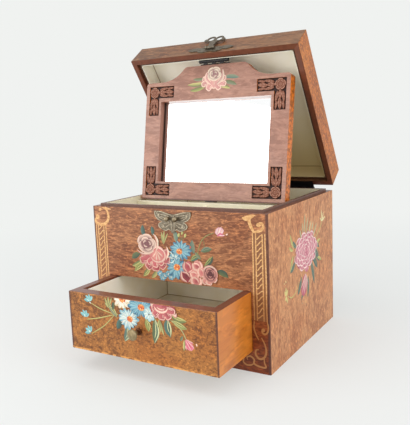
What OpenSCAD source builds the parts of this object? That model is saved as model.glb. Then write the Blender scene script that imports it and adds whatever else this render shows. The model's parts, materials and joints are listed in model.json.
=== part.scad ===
// Vanity box with a folding mirror and a drawer, in millimetres.
// Origin at the middle of the underside, +Z up, the front looks towards -Y.
// It is drawn as it stands in use: lid up, mirror out, drawer part open, hasp thrown back.

/* [Case] */
// Width of the case over its side boards
box_w = 240; // [220:1:280]
// Depth of the case from front board to back board
box_d = 216; // [205:1:250]
// Height of the case up to its outer rim
box_h = 180; // [165:1:220]
// Thickness of the outer boards
wall = 7; // [6:0.5:9]
// Radius of the rounded arrises of the case and the lid
arris_r = 1.2; // [0.5:0.1:2]
// Thickness of the base board
base_t = 6; // [4:0.5:9]
// Thickness of the floor of the top compartment
floor_t = 4; // [3:0.5:6]
// Thickness of the inner liner boards
liner_t = 3.8; // [3:0.1:5]
// Height of the liners above the outer rim, which locates the lid
lip_rise = 3; // [2:0.5:5]
// Thickness of the lining card
card_t = 0.8; // [0.5:0.1:1.2]

/* [Compartment] */
// Thickness of the cross partition
partition_t = 5; // [4:0.5:7]
// Thickness of the front divider
divider_t = 4; // [3:0.5:6]
// Distance from the lip down to the top of the front divider
divider_drop = 10; // [6:1:30]

/* [Drawer] */
// Width of the front board beside the drawer
stile_w = 21.6; // [20:0.2:40]
// Height of the drawer
drawer_h = 69; // [55:1:76]
// Room behind the closed drawer
drawer_room = 15; // [8:1:40]
// How far the drawer stands open
drawer_out = 76; // [0:1:120]
// Height of the rail below the drawer
sill_h = 23.5; // [18:0.5:26]
// Thickness of the drawer front
drawer_front_t = 14; // [10:0.5:18]
// Thickness of the drawer sides and back
drawer_side_t = 10.5; // [7:0.5:12]
// Thickness of the drawer bottom
drawer_bottom_t = 4; // [3:0.5:5]
// Height of the drawer bottom above the lower edge of the sides
drawer_bottom_up = 10; // [3:0.5:14]
// Distance from the drawer rim down to the lining
lining_drop = 2.5; // [1:0.5:6]
// Gap round the drawer in its opening
drawer_gap = 0.4; // [0.3:0.1:1]
// Height of the drawer above its runners
runner_gap = 0.2; // [0.1:0.05:0.4]
// Thickness of the side guides
guide_t = 6; // [4:0.5:8]
// Width of the ledge under each drawer side
ledge_w = 12; // [8:1:20]
// Diameter of the knob's disc
knob_d = 12.5; // [10:0.5:18]
// Distance from the drawer face to the front of the knob
knob_out = 14; // [10:0.5:20]
// Diameter of the knob's stem
knob_stem_d = 5; // [4:0.5:7]

/* [Lid] */
// Height of the lid
lid_h = 33; // [31:0.5:45]
// Thickness of the lid rails
lid_wall = 6.6; // [5.5:0.1:8.5]
// Thickness of the lid's top panel
lid_panel_t = 5; // [4:0.5:6]
// Opening angle of the lid
lid_open = 55.2; // [45:0.2:60]
// Gap between the closed rims
rim_gap = 0.3; // [0.2:0.05:0.5]
// Gap above the lip inside the closed lid
lip_gap = 0.8; // [0.6:0.1:1.5]
// Width of the chamfer along the lid's top edge
lid_chamfer = 1.2; // [0.5:0.1:2]

/* [Mirror] */
// Width of the mirror frame
mirror_w = 210; // [190:1:214]
// Height of the mirror frame at its arch
mirror_h = 175; // [160:1:180]
// Thickness of the mirror frame
mirror_t = 14; // [13:0.5:14.5]
// Backward lean of the mirror in use
mirror_lean = 10; // [5:0.5:15]
// Height of the frame's shoulders
shoulder_h = 157; // [145:1:160]
// Distance from the middle to the foot of the arch
arch_half_w = 80; // [70:1:90]
// Radius of the hollow sweep of the arch
sweep_r = 44; // [38:1:60]
// Radius of the round at the top of the arch
arch_round_r = 8; // [4:1:12]
// Radius of the frame's outer shoulders
shoulder_r = 4; // [2:0.5:8]
// Width of the glass opening
sight_w = 161; // [140:1:162]
// Height of the glass opening
sight_h = 107; // [90:1:108]
// Height of the opening above the frame's foot
sight_up = 24; // [20:1:26]
// Depth of the glass behind the frame's face
glass_sink = 9.5; // [7:0.5:10]
// Thickness of the glass
glass_t = 2; // [1.8:0.1:2.5]
// Overlap of the glass behind the frame
glass_lap = 5; // [3:0.5:6]
// Clearance round the glass in its rebate
glass_gap = 0.3; // [0.2:0.1:0.6]
// Length of each arm of a carved corner
corner_len = 38.8; // [30:0.2:40]
// Width of the arms of a carved corner
corner_arm = 15.6; // [12:0.2:17]
// Margin between a carved corner and the frame's edge
corner_margin = 5.3; // [4:0.1:6]
// Depth of the pocket for a carved corner
pocket_depth = 2.6; // [2:0.1:3.5]
// Thickness of the carved corner's ground
ground_t = 0.9; // [0.6:0.1:1.4]
// Height of the carving over the frame's face
carving_proud = 0.4; // [0:0.1:1]
// Width of the plate under the mirror's foot
foot_plate_w = 13; // [10:0.5:20]
// Thickness of the plate under the mirror's foot
foot_plate_t = 1.2; // [0.8:0.1:1.5]

/* [Hinges] */
// Width of a hinge
hinge_w = 42; // [35:1:50]
// Number of knuckles of a hinge
knuckles = 7; // [5:2:9]
// Diameter of the hinge barrel
barrel_d = 4.8; // [4.4:0.1:5.6]
// Diameter of the hinge pin
pin_d = 2; // [1.6:0.1:2.4]
// Clearance of a pin in its bore
pin_gap = 0.05; // [0.02:0.01:0.09]
// Gap between knuckles
knuckle_gap = 0.3; // [0.2:0.05:0.5]
// Thickness of a hinge leaf
leaf_t = 1; // [0.8:0.1:1.2]
// Distance from the middle of the case to a rear hinge
hinge_x = 70.5; // [55:0.5:80]
// Distance from the back board to the rear hinge's pin
hinge_off = 7.5; // [5:0.5:9]
// Distance from the lid's front to the mirror's pin
mirror_pin_in = 15.5; // [15:0.1:17]
// Height of the mirror's pin above the lid's rim
mirror_pin_up = 8; // [6:0.1:8.6]
// Distance from the frame's top edge to the mirror's pin
mirror_pin_rise = 4; // [3.6:0.1:5]
// Distance from the frame's face to the mirror's pin
mirror_pin_out = 3.2; // [2.9:0.1:4]
// Diameter of the small nails
nail_d = 1.6; // [1.2:0.1:1.8]
// Length of the small nails
nail_len = 5; // [4:0.5:5.5]

/* [Latch] */
// Width of the butterfly catch plate
catch_w = 52; // [44:1:60]
// Height of the butterfly catch plate
catch_h = 26; // [22:1:32]
// Distance from the case rim to the top of the catch plate
catch_drop = 2; // [1:0.5:6]
// Thickness of the catch and latch plates
plate_t = 1; // [0.8:0.1:1.5]
// Distance between the two studs
stud_pitch = 11.6; // [11:0.1:13]
// Distance from the case rim down to the studs
stud_drop = 10.5; // [9:0.5:13]
// Diameter of a stud's ball
stud_ball_d = 6.2; // [5:0.1:6.4]
// Distance from the front board to the stud's tip
stud_out = 8.6; // [8:0.1:10]
// Diameter of a stud's neck
stud_neck_d = 3.6; // [3:0.1:4.5]
// Width of the latch plate on the lid
latch_w = 65; // [55:1:75]
// Height of the latch plate on the lid
latch_h = 13; // [11:0.5:15]
// Height of the hasp's pin above the lid's rim
hasp_pin_up = 9; // [8:0.5:11]
// Distance from the lid's front to the hasp's pin
hasp_pin_out = 3; // [2.6:0.1:3.6]
// Diameter of the hasp's barrel
hasp_barrel_d = 3.4; // [3:0.1:4]
// Diameter of the hasp's pin
hasp_pin_d = 1.4; // [1.2:0.1:1.8]
// Width of the hasp's knuckle
hasp_knuckle_w = 7; // [5:0.5:9]
// Width of the plate's knuckles beside it
latch_knuckle_w = 3; // [2:0.5:4]
// Thickness of the hasp
hasp_t = 1.2; // [1:0.1:1.5]
// Diameter of the hasp's eyes
hasp_eye_d = 8; // [7.6:0.1:9]
// Width of the rim round an eye
hasp_rim = 2.4; // [1.6:0.1:3]
// Angle of the hasp thrown back from its locked place
hasp_back = 180; // [150:1:182]

/* [Hidden] */
$fn = 48;
eps = 0.01;

wood = "peru";
dark_wood = "saddlebrown";
cream = "beige";
black_iron = "dimgray";
old_brass = "darkkhaki";

front_y = -box_d / 2;
back_y = box_d / 2;
inner_w = box_w - 2 * wall;
inner_d = box_d - 2 * wall;
drawer_w = box_w - 2 * stile_w - 2 * drawer_gap;
drawer_len = box_d - wall - drawer_room;

// Levels inside the case
opening_h = drawer_h + 2 * drawer_gap;
opening_top = sill_h + opening_h;
floor_z = opening_top + 2.5;
liner_z = floor_z + floor_t;
lip_z = box_h + lip_rise;
well_w = inner_w - 2 * liner_t;
well_d = inner_d - 2 * liner_t;

// The closed lid
rim_z = box_h + rim_gap;
lid_top_z = rim_z + lid_h;
lid_panel_z = lid_top_z - lid_panel_t;
lid_inner_w = box_w - 2 * lid_wall;
lid_inner_d = box_d - 2 * lid_wall;
lid_well_w = lid_inner_w - 2 * liner_t;
lid_well_d = lid_inner_d - 2 * liner_t;
lid_liner_z = rim_z + lip_rise + lip_gap;

// Rear hinge pin, mirror pin and hasp pin with the lid shut, as [y, z]
rear_pin = [back_y + hinge_off, box_h + rim_gap / 2];
mirror_pin = [front_y + mirror_pin_in, rim_z + mirror_pin_up];
hasp_pin = [front_y - hasp_pin_out, rim_z + hasp_pin_up];

// Where the mirror's foot stands with the lid up
mirror_fold = 90 + mirror_lean - lid_open;
function turned(p, a) = [p.x * cos(a) - p.y * sin(a), p.x * sin(a) + p.y * cos(a)];
mirror_pin_up_pos = rear_pin + turned(mirror_pin - rear_pin, -lid_open);
foot_pos = mirror_pin_up_pos + turned([-(mirror_h + mirror_pin_rise), -mirror_pin_out], 90 - mirror_lean);

// The cross partition ends just before and below the foot
foot_gap = 2;
partition_back_y = foot_pos.x - foot_gap;
partition_top_z = foot_pos.y - foot_gap;
partition_front_y = partition_back_y - partition_t;
well_front_y = front_y + wall + liner_t + card_t;

// Outline helpers
function arc(c, r, a0, a1, n) = [for (i = [0:n]) c + r * [cos(a0 + (a1 - a0) * i / n), sin(a0 + (a1 - a0) * i / n)]];
function bend(a, b, c, d, n) = [for (i = [0:n - 1]) let (t = i / n, s = 1 - t)
    s * s * s * a + 3 * s * s * t * b + 3 * s * t * t * c + t * t * t * d];
function across(points) = [for (p = points) [-p.x, p.y]];
function backwards(list) = [for (i = [len(list) - 1:-1:0]) list[i]];

module in_lid() {
    translate([0, rear_pin.x, rear_pin.y]) rotate([-lid_open, 0, 0]) translate([0, -rear_pin.x, -rear_pin.y])
        children();
}

// The mirror's own frame has its foot at y = 0 and its face at z = 0, looking towards +Z
module in_mirror() {
    in_lid() translate([0, mirror_pin.x, mirror_pin.y]) rotate([180 - mirror_fold, 0, 0])
        translate([0, -(mirror_h + mirror_pin_rise), -mirror_pin_out]) children();
}

module in_drawer() {
    translate([0, -drawer_out, 0]) children();
}

// A board whose ends are mitred: its outer face lies on y = 0 and its back on y = thick.
// With r, half of a rounded arris is on each end, and its other half on the next board
module mitred_board(length, thick, height, r = 0) {
    linear_extrude(height) polygon(concat(
        r > 0 ? arc([r - length / 2, r], r, 225, 270, 4) : [[-length / 2, 0]],
        r > 0 ? arc([length / 2 - r, r], r, 270, 315, 4) : [[length / 2, 0]],
        [[length / 2 - thick, thick], [thick - length / 2, thick]]
    ));
}

// Four mitred boards round a rectangle
module board_at(side, w, d, thick, z, height, r = 0) {
    at = side == "front" ? [0, 0, -d / 2] : side == "back" ? [180, 0, -d / 2]
        : side == "left" ? [-90, 1, -w / 2] : [90, 1, -w / 2];
    length = at[1] == 0 ? w : d;
    translate([0, 0, z]) rotate([0, 0, at[0]]) translate([0, at[2], 0])
        mitred_board(length, thick, height, r);
}

// Straight nail along -Z with its head at z = 0
module nail(gap = 0, length = nail_len) {
    translate([0, 0, -length]) cylinder(d = nail_d + 2 * gap, h = length + (gap > 0 ? 1 : 0));
}

// Hinges. A knuckle is a length of barrel along X, centred on the pin
knuckle_w = hinge_w / knuckles;
leaf_clear = barrel_d / 2 + 0.08 * barrel_d;
function knuckle_x(i) = -hinge_w / 2 + knuckle_w * (i + 0.5);
module barrel(parity) {
    for (i = [parity:2:knuckles - 1]) translate([knuckle_x(i), 0, 0]) rotate([0, 90, 0])
        cylinder(d = barrel_d, h = knuckle_w - knuckle_gap, center = true);
}

module pin_bore() {
    rotate([0, 90, 0]) cylinder(d = pin_d + 2 * pin_gap, h = hinge_w + 2, center = true);
}

// A flat leaf in the plane of the pin, reaching from the pin by reach; z0 is its lower face
module flat_leaf(parity, reach, z0) {
    difference() {
        union() {
            barrel(parity);
            translate([-hinge_w / 2, -reach, z0]) cube([hinge_w, reach - leaf_clear, leaf_t]);
            for (i = [parity:2:knuckles - 1])
                translate([knuckle_x(i) - (knuckle_w - knuckle_gap) / 2, -leaf_clear - leaf_t, z0])
                    cube([knuckle_w - knuckle_gap, leaf_clear + leaf_t, leaf_t]);
        }
        pin_bore();
    }
}

leaf_inset = 0.5;
hinge_nail_in = 7;
rear_reach = hinge_off + wall - leaf_inset;
rear_nails = [for (sx = [-1, 1]) [sx * (hinge_w / 2 - hinge_nail_in), -(hinge_off + wall / 2)]];
module at_rear_hinges() {
    for (sx = [-1, 1]) translate([sx * hinge_x, rear_pin.x, 0]) children();
}

// Pockets that let the leaves into the rims
module rear_mortise(z0, gap = 0.05) {
    at_rear_hinges() translate([-hinge_w / 2 - gap, -rear_reach - gap, z0])
        cube([hinge_w + 2 * gap, rear_reach, leaf_t + gap]);
}

module rear_nail_set(up, gap) {
    at_rear_hinges() for (p = rear_nails) translate([p.x, p.y, up > 0 ? rim_z : box_h])
        rotate([up > 0 ? 180 : 0, 0, 0]) nail(gap);
}

// Case
module front_board() {
    color(wood) difference() {
        board_at("front", box_w, box_d, wall, 0, box_h, arris_r);
        translate([-drawer_w / 2 - drawer_gap, front_y - 1, sill_h])
            cube([drawer_w + 2 * drawer_gap, wall + 2, opening_h]);
        catch_nail_set(0.05);
        for (sx = [-1, 1]) translate([sx * stud_pitch / 2, front_y, box_h - stud_drop])
            rotate([-90, 0, 0]) cylinder(d = stud_neck_d + 0.1, h = wall - 1);
    }
}

module back_board() {
    color(wood) difference() {
        board_at("back", box_w, box_d, wall, 0, box_h, arris_r);
        rear_mortise(box_h - leaf_t - 0.05, 0.05);
        rear_nail_set(-1, 0.05);
    }
}

module left_side() color(wood) board_at("left", box_w, box_d, wall, 0, box_h, arris_r);
module right_side() color(wood) board_at("right", box_w, box_d, wall, 0, box_h, arris_r);

module base_board() {
    color(wood) translate([-inner_w / 2, -inner_d / 2, 0]) cube([inner_w, inner_d, base_t]);
}

// An L-shaped guide: a ledge under the drawer's side and a wall beside it
ledge_z = sill_h + drawer_gap - runner_gap;
guide_x = drawer_w / 2 + drawer_gap;
module guide(sx) {
    color(dark_wood) mirror([sx < 0 ? 1 : 0, 0, 0]) translate([0, inner_d / 2, 0]) rotate([90, 0, 0])
        linear_extrude(inner_d) polygon([
            [guide_x - ledge_w, base_t], [guide_x + guide_t, base_t], [guide_x + guide_t, floor_z],
            [guide_x, floor_z], [guide_x, ledge_z], [guide_x - ledge_w, ledge_z]
        ]);
}
module left_guide() guide(-1);
module right_guide() guide(1);

stop_h = 16;
module drawer_stops() {
    stop_y = front_y + drawer_len + 0.3;
    color(dark_wood) for (sx = [-1, 1]) translate([sx * (guide_x - ledge_w / 2), stop_y, ledge_z])
        translate([-ledge_w / 2, 0, 0]) cube([ledge_w, inner_d / 2 - stop_y, stop_h]);
}

module compartment_floor() {
    color(wood) translate([-inner_w / 2, -inner_d / 2, floor_z]) cube([inner_w, inner_d, floor_t]);
}

module case_liner(side) {
    color(dark_wood) board_at(side, inner_w, inner_d, liner_t, liner_z, lip_z - liner_z);
}
module front_liner() case_liner("front");
module back_liner() case_liner("back");
module left_liner() case_liner("left");
module right_liner() case_liner("right");

// A tray of lining card: outer size w by d, standing from z0 to z1 on its floor
module card_tray(w, d, z0, z1) {
    difference() {
        translate([-w / 2, -d / 2, z0]) cube([w, d, z1 - z0]);
        translate([-w / 2 + card_t, -d / 2 + card_t, z0 + card_t])
            cube([w - 2 * card_t, d - 2 * card_t, z1 - z0]);
    }
}

card_low = 0.4;
module case_lining() color(cream) card_tray(well_w, well_d, liner_z, lip_z - card_low);

module cross_partition() {
    w = well_w - 2 * card_t;
    color(cream) translate([-w / 2, partition_front_y, liner_z + card_t])
        cube([w, partition_t, partition_top_z - liner_z - card_t]);
}

module front_divider() {
    color(cream) translate([-divider_t / 2, well_front_y, liner_z + card_t])
        cube([divider_t, partition_front_y - well_front_y, lip_z - divider_drop - liner_z - card_t]);
}

module case_hinge_leaves() {
    color(black_iron) difference() {
        at_rear_hinges() translate([0, 0, rear_pin.y]) flat_leaf(0, rear_reach, box_h - leaf_t - rear_pin.y);
        rear_nail_set(-1, 0.05);
    }
}

module rear_hinge_pins() {
    color(black_iron) at_rear_hinges() translate([0, 0, rear_pin.y]) rotate([0, 90, 0])
        cylinder(d = pin_d, h = hinge_w, center = true);
}

module case_hinge_nails() color(black_iron) rear_nail_set(-1, 0);

// Butterfly catch plate: half of its outline, as shares of its half width and its height
wing = concat(
    bend([0.05, 0.86], [0.25, 0.90], [0.55, 1.02], [0.98, 1], 8),
    bend([0.98, 1], [1.02, 0.80], [0.86, 0.62], [0.56, 0.52], 8),
    bend([0.56, 0.52], [0.80, 0.48], [0.80, 0.22], [0.52, 0.12], 8),
    bend([0.52, 0.12], [0.34, 0.08], [0.20, 0.24], [0.10, 0.10], 6),
    [[0.06, 0.02], [0, 0]]
);
module butterfly(w, h, half) {
    scaled = [for (p = half) [p.x * w / 2, p.y * h]];
    polygon(concat(scaled, across(backwards(scaled))));
}

catch_nails_at = [for (sx = [-1, 1]) each [[sx * catch_w * 0.39, catch_h * 0.84], [sx * catch_w * 0.26, catch_h * 0.28]]];
module on_front(z) {
    translate([0, front_y, z]) rotate([90, 0, 0]) children();
}
module catch_nail_set(gap) {
    on_front(box_h - catch_drop - catch_h) for (p = catch_nails_at) translate([p.x, p.y, plate_t])
        nail(gap);
}
module catch_plate() {
    color(old_brass) difference() {
        on_front(box_h - catch_drop - catch_h) linear_extrude(plate_t) butterfly(catch_w, catch_h, wing);
        catch_nail_set(0.05);
        for (sx = [-1, 1]) translate([sx * stud_pitch / 2, front_y + 1, box_h - stud_drop])
            rotate([90, 0, 0]) cylinder(d = stud_neck_d + 0.1, h = plate_t + 2);
    }
}

// A stud is turned: a neck through the plate into the board, a collar and a ball
module catch_studs() {
    color(old_brass) for (sx = [-1, 1]) translate([sx * stud_pitch / 2, front_y, box_h - stud_drop])
        rotate([90, 0, 0]) union() {
            translate([0, 0, -4]) cylinder(d = stud_neck_d, h = stud_out - 1);
            translate([0, 0, stud_out - stud_ball_d / 2]) sphere(d = stud_ball_d);
        }
}
module catch_nails() color(old_brass) catch_nail_set(0);

// Lid
module lid_rail(side) {
    color(wood) in_lid() difference() {
        board_at(side, box_w, box_d, lid_wall, rim_z, lid_h, arris_r);
        lid_edge_cut(side);
        if (side == "back") {
            rear_mortise(rim_z, 0.05);
            rear_nail_set(1, 0.05);
        }
        if (side == "front") latch_nail_set(0.05);
    }
}

module lid_edge_cut(side) {
    turn = side == "front" ? 0 : side == "back" ? 180 : side == "left" ? -90 : 90;
    reach = turn == 0 || turn == 180 ? box_d / 2 : box_w / 2;
    rotate([0, 0, turn]) translate([0, -reach, lid_top_z]) rotate([45, 0, 0])
        cube([2 * box_w, lid_chamfer * sqrt(2), lid_chamfer * sqrt(2)], center = true);
}
module lid_front_rail() lid_rail("front");
module lid_back_rail() lid_rail("back");
module lid_left_rail() lid_rail("left");
module lid_right_rail() lid_rail("right");

module lid_top_panel() {
    color(wood) in_lid() translate([-lid_inner_w / 2, -lid_inner_d / 2, lid_panel_z])
        cube([lid_inner_w, lid_inner_d, lid_panel_t]);
}

module lid_liner(side) {
    color(dark_wood) in_lid() difference() {
        board_at(side, lid_inner_w, lid_inner_d, liner_t, lid_liner_z, lid_panel_z - lid_liner_z);
        if (side == "front") lid_leaf_nail_set(0.05);
    }
}
module lid_front_liner() lid_liner("front");
module lid_back_liner() lid_liner("back");
module lid_left_liner() lid_liner("left");
module lid_right_liner() lid_liner("right");

module lid_lining() {
    color(cream) in_lid() difference() {
        translate([0, 0, lid_panel_z]) mirror([0, 0, 1])
            card_tray(lid_well_w, lid_well_d, 0, lid_panel_z - lid_liner_z - card_low);
        lid_leaf_nail_set(0.05);
    }
}

module lid_hinge_leaves() {
    color(black_iron) in_lid() difference() {
        at_rear_hinges() translate([0, 0, rear_pin.y]) flat_leaf(1, rear_reach, rim_z - rear_pin.y);
        rear_nail_set(1, 0.05);
    }
}
module lid_hinge_nails() color(black_iron) in_lid() rear_nail_set(1, 0);

// Latch plate with spread wings, as shares of its half width and its height
bat = concat(
    bend([0.10, 0.80], [0.20, 1.00], [0.34, 1.02], [0.44, 0.84], 6),
    bend([0.44, 0.84], [0.60, 1.06], [0.84, 1.02], [1, 0.66], 6),
    bend([1, 0.66], [0.90, 0.30], [0.66, 0.28], [0.56, 0.38], 6),
    bend([0.56, 0.38], [0.46, 0.04], [0.26, -0.04], [0.12, 0.12], 6),
    [[0.10, 0.12]]
);
latch_low = 1;
latch_nails_at = [for (sx = [-1, 1]) each [[sx * latch_w * 0.40, latch_h * 0.66], [sx * latch_w * 0.21, latch_h * 0.50]]];
module latch_nail_set(gap) {
    on_front(rim_z + latch_low) for (p = latch_nails_at) translate([p.x, p.y, plate_t]) nail(gap);
}

hasp_barrel_w = hasp_knuckle_w + 2 * (latch_knuckle_w + knuckle_gap);
module latch_plate() {
    color(old_brass) in_lid() difference() {
        union() {
            on_front(rim_z + latch_low) linear_extrude(plate_t) butterfly(latch_w, latch_h, bat);
            for (sx = [-1, 1]) translate([sx * (hasp_barrel_w - latch_knuckle_w) / 2, hasp_pin.x, hasp_pin.y])
                rotate([0, 90, 0]) {
                    cylinder(d = hasp_barrel_d, h = latch_knuckle_w, center = true);
                    translate([0, hasp_pin_out / 2, 0]) cube([1.6, hasp_pin_out, latch_knuckle_w], center = true);
                }
        }
        translate([0, hasp_pin.x, hasp_pin.y]) rotate([0, 90, 0])
            cylinder(d = hasp_pin_d + 2 * pin_gap, h = hasp_barrel_w + 2, center = true);
        latch_nail_set(0.05);
    }
}
module latch_pin() {
    color(old_brass) in_lid() translate([0, hasp_pin.x, hasp_pin.y]) rotate([0, 90, 0])
        cylinder(d = hasp_pin_d, h = hasp_barrel_w, center = true);
}
module latch_nails() color(old_brass) in_lid() latch_nail_set(0);

// The hasp hangs from its pin in the plane x-z when locked; its eyes sit over the studs
hasp_reach = hasp_pin_up + rim_gap + stud_drop;
hasp_eye_r = hasp_eye_d / 2;
module hasp_outline() {
    for (sx = [-1, 1]) {
        translate([sx * stud_pitch / 2, -hasp_reach]) circle(r = hasp_eye_r + hasp_rim);
        translate([sx * (stud_pitch / 2 + hasp_eye_r + hasp_rim), 2.2 - hasp_reach]) circle(r = 3);
    }
    polygon([
        [-hasp_knuckle_w / 2, -1], [hasp_knuckle_w / 2, -1], [hasp_knuckle_w / 2, -5],
        [stud_pitch / 2, -hasp_reach + hasp_eye_r], [-stud_pitch / 2, -hasp_reach + hasp_eye_r],
        [-hasp_knuckle_w / 2, -5]
    ]);
}
module hasp() {
    color(old_brass) in_lid() translate([0, hasp_pin.x, hasp_pin.y]) rotate([-hasp_back, 0, 0]) difference() {
        union() {
            rotate([0, 90, 0]) cylinder(d = hasp_barrel_d, h = hasp_knuckle_w, center = true);
            translate([0, hasp_t / 2, 0]) rotate([90, 0, 0]) linear_extrude(hasp_t) difference() {
                hasp_outline();
                for (sx = [-1, 1]) translate([sx * stud_pitch / 2, -hasp_reach]) circle(r = hasp_eye_r);
            }
        }
        rotate([0, 90, 0]) cylinder(d = hasp_pin_d + 2 * pin_gap, h = hasp_knuckle_w + 2, center = true);
    }
}

// Mirror hinge: one leaf stands on the lid's front lining, the other on the frame's top edge
lid_leaf_back = mirror_pin_in - lid_wall - liner_t - card_t;
lid_leaf_h = 14;
lid_leaf_nails_at = [for (sx = [-1, 1]) [sx * (hinge_w / 2 - hinge_nail_in), lid_leaf_h - 4]];
module lid_leaf_nail_set(gap) {
    for (p = lid_leaf_nails_at) translate([p.x, mirror_pin.x - lid_leaf_back + leaf_t, mirror_pin.y + p.y])
        rotate([-90, 0, 0]) nail(gap, leaf_t + card_t + liner_t - leaf_inset);
}
module at_mirror_pin() {
    translate([0, mirror_pin.x, mirror_pin.y]) children();
}
module mirror_hinge_lid_leaf() {
    color(black_iron) in_lid() difference() {
        at_mirror_pin() difference() {
            union() {
                barrel(0);
                translate([-hinge_w / 2, -lid_leaf_back, leaf_clear])
                    cube([hinge_w, leaf_t, lid_leaf_h - leaf_clear]);
                for (i = [0:2:knuckles - 1]) translate([knuckle_x(i) - (knuckle_w - knuckle_gap) / 2, 0, 0]) {
                    translate([0, -lid_leaf_back, 0]) cube([knuckle_w - knuckle_gap, leaf_t, leaf_clear + leaf_t]);
                    translate([0, -lid_leaf_back, 0]) cube([knuckle_w - knuckle_gap, lid_leaf_back, leaf_t]);
                }
            }
            pin_bore();
        }
        lid_leaf_nail_set(0.05);
    }
}
module mirror_hinge_pin() {
    color(black_iron) in_lid() at_mirror_pin() rotate([0, 90, 0]) cylinder(d = pin_d, h = hinge_w, center = true);
}
module mirror_leaf_nails() color(black_iron) in_lid() lid_leaf_nail_set(0);

// Frame leaf in the mirror's own frame: a plate on the top edge, cranked forward to the pin
frame_leaf_d = 11;
frame_leaf_nails_at = [for (sx = [-1, 1]) [sx * (hinge_w / 2 - hinge_nail_in), -frame_leaf_d * 0.68]];
module frame_leaf_nail_set(gap) {
    for (p = frame_leaf_nails_at) translate([p.x, mirror_h + leaf_t, p.y]) rotate([-90, 0, 0]) nail(gap);
}
module mirror_hinge_frame_leaf() {
    color(black_iron) in_mirror() difference() {
        union() {
            translate([0, mirror_h + mirror_pin_rise, mirror_pin_out]) barrel(1);
            translate([-hinge_w / 2, mirror_h, -frame_leaf_d])
                cube([hinge_w, leaf_t, frame_leaf_d + mirror_pin_out - leaf_clear]);
            for (i = [1:2:knuckles - 1]) translate([knuckle_x(i) - (knuckle_w - knuckle_gap) / 2, mirror_h, 0]) {
                translate([0, 0, mirror_pin_out - leaf_clear - leaf_t / 2])
                    cube([knuckle_w - knuckle_gap, leaf_t, leaf_clear + leaf_t]);
                translate([0, 0, mirror_pin_out - leaf_t / 2])
                    cube([knuckle_w - knuckle_gap, mirror_pin_rise, leaf_t]);
            }
        }
        translate([0, mirror_h + mirror_pin_rise, mirror_pin_out]) pin_bore();
        frame_leaf_nail_set(0.05);
    }
}
module frame_leaf_nails() color(black_iron) in_mirror() frame_leaf_nail_set(0);

// Frame outline: straight sides, rounded shoulders and an arch with hollow sweeps
sweep_c = [arch_half_w, shoulder_h + sweep_r];
arch_c_y = mirror_h - arch_round_r;
arch_c = [arch_half_w - sqrt(pow(sweep_r + arch_round_r, 2) - pow(sweep_c.y - arch_c_y, 2)), arch_c_y];
sweep_a = atan2(sweep_c.y - arch_c.y, sweep_c.x - arch_c.x);
half_frame = concat(
    [[mirror_w / 2, 0]],
    arc([mirror_w / 2 - shoulder_r, shoulder_h - shoulder_r], shoulder_r, 0, 90, 6),
    arc(sweep_c, sweep_r, 270, 180 + sweep_a, 12),
    arc(arch_c, arch_round_r, sweep_a, 90, 5)
);
module corner_outline(grow = 0) {
    union() {
        translate([-grow, -grow]) square([corner_len + 2 * grow, corner_arm + 2 * grow]);
        translate([-grow, -grow]) square([corner_arm + 2 * grow, corner_len + 2 * grow]);
    }
}
// Each corner is drawn for the lower left and mirrored to the others
corner_top = shoulder_h - corner_margin;
module at_corners() {
    for (sx = [0, 1]) mirror([sx, 0, 0]) {
        translate([corner_margin - mirror_w / 2, corner_margin, 0]) children();
        translate([corner_margin - mirror_w / 2, corner_top, 0]) mirror([0, 1, 0]) children();
    }
}
glass_w = sight_w + 2 * glass_lap;
glass_h = sight_h + 2 * glass_lap;
module mirror_frame() {
    color(wood) in_mirror() difference() {
        translate([0, 0, -mirror_t]) linear_extrude(mirror_t)
            polygon(concat(half_frame, across(backwards(half_frame))));
        translate([-sight_w / 2, sight_up, -mirror_t - 1]) cube([sight_w, sight_h, mirror_t + 2]);
        translate([-glass_w / 2 - glass_gap, sight_up - glass_lap - glass_gap, -mirror_t - 1])
            cube([glass_w + 2 * glass_gap, glass_h + 2 * glass_gap, mirror_t + 1 - glass_sink]);
        at_corners() translate([0, 0, -pocket_depth]) linear_extrude(pocket_depth + 1) corner_outline(0.1);
        frame_leaf_nail_set(0.05);
        foot_pin_set(0.05);
    }
}
module mirror_glass() {
    color("lightcyan") in_mirror() translate([-glass_w / 2, sight_up - glass_lap, -glass_sink - glass_t])
        cube([glass_w, glass_h, glass_t]);
}
backing_t = mirror_t - glass_sink - glass_t;
module mirror_backing() {
    color(dark_wood) in_mirror() translate([-glass_w / 2, sight_up - glass_lap, -mirror_t])
        cube([glass_w, glass_h, backing_t]);
}

// Carving on a corner: a rose where the arms meet and two pairs of leaves along each arm
carving_t = pocket_depth - ground_t + carving_proud;
rose_c = [corner_arm * 0.52, corner_arm * 0.52];
module leaf(length, width) {
    r = (length * length / 4 + width * width / 4) / width;
    intersection() {
        translate([length / 2, r - width / 2]) circle(r = r);
        translate([length / 2, width / 2 - r]) circle(r = r);
    }
}
module leaf_spray() {
    for (lane = [-1, 1]) translate([corner_arm * 0.86, rose_c.y + lane * corner_arm * 0.21, 0]) {
        rotate([0, 0, lane * 3]) linear_extrude(carving_t - 0.4) leaf(corner_len - corner_arm - 2.2, 5.4);
        rotate([0, 0, lane * 3]) linear_extrude(carving_t) leaf(corner_len - corner_arm - 6, 1.6);
    }
}
module rose() {
    petal_r = corner_arm * 0.19;
    translate(rose_c) {
        linear_extrude(carving_t - 0.9) for (i = [0:6])
            rotate(i * 360 / 7) translate([corner_arm * 0.27, 0]) circle(r = petal_r);
        linear_extrude(carving_t - 0.4) for (i = [0:4])
            rotate(30 + i * 72) translate([corner_arm * 0.13, 0]) circle(r = petal_r);
        cylinder(r = petal_r * 0.8, h = carving_t);
    }
}
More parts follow.
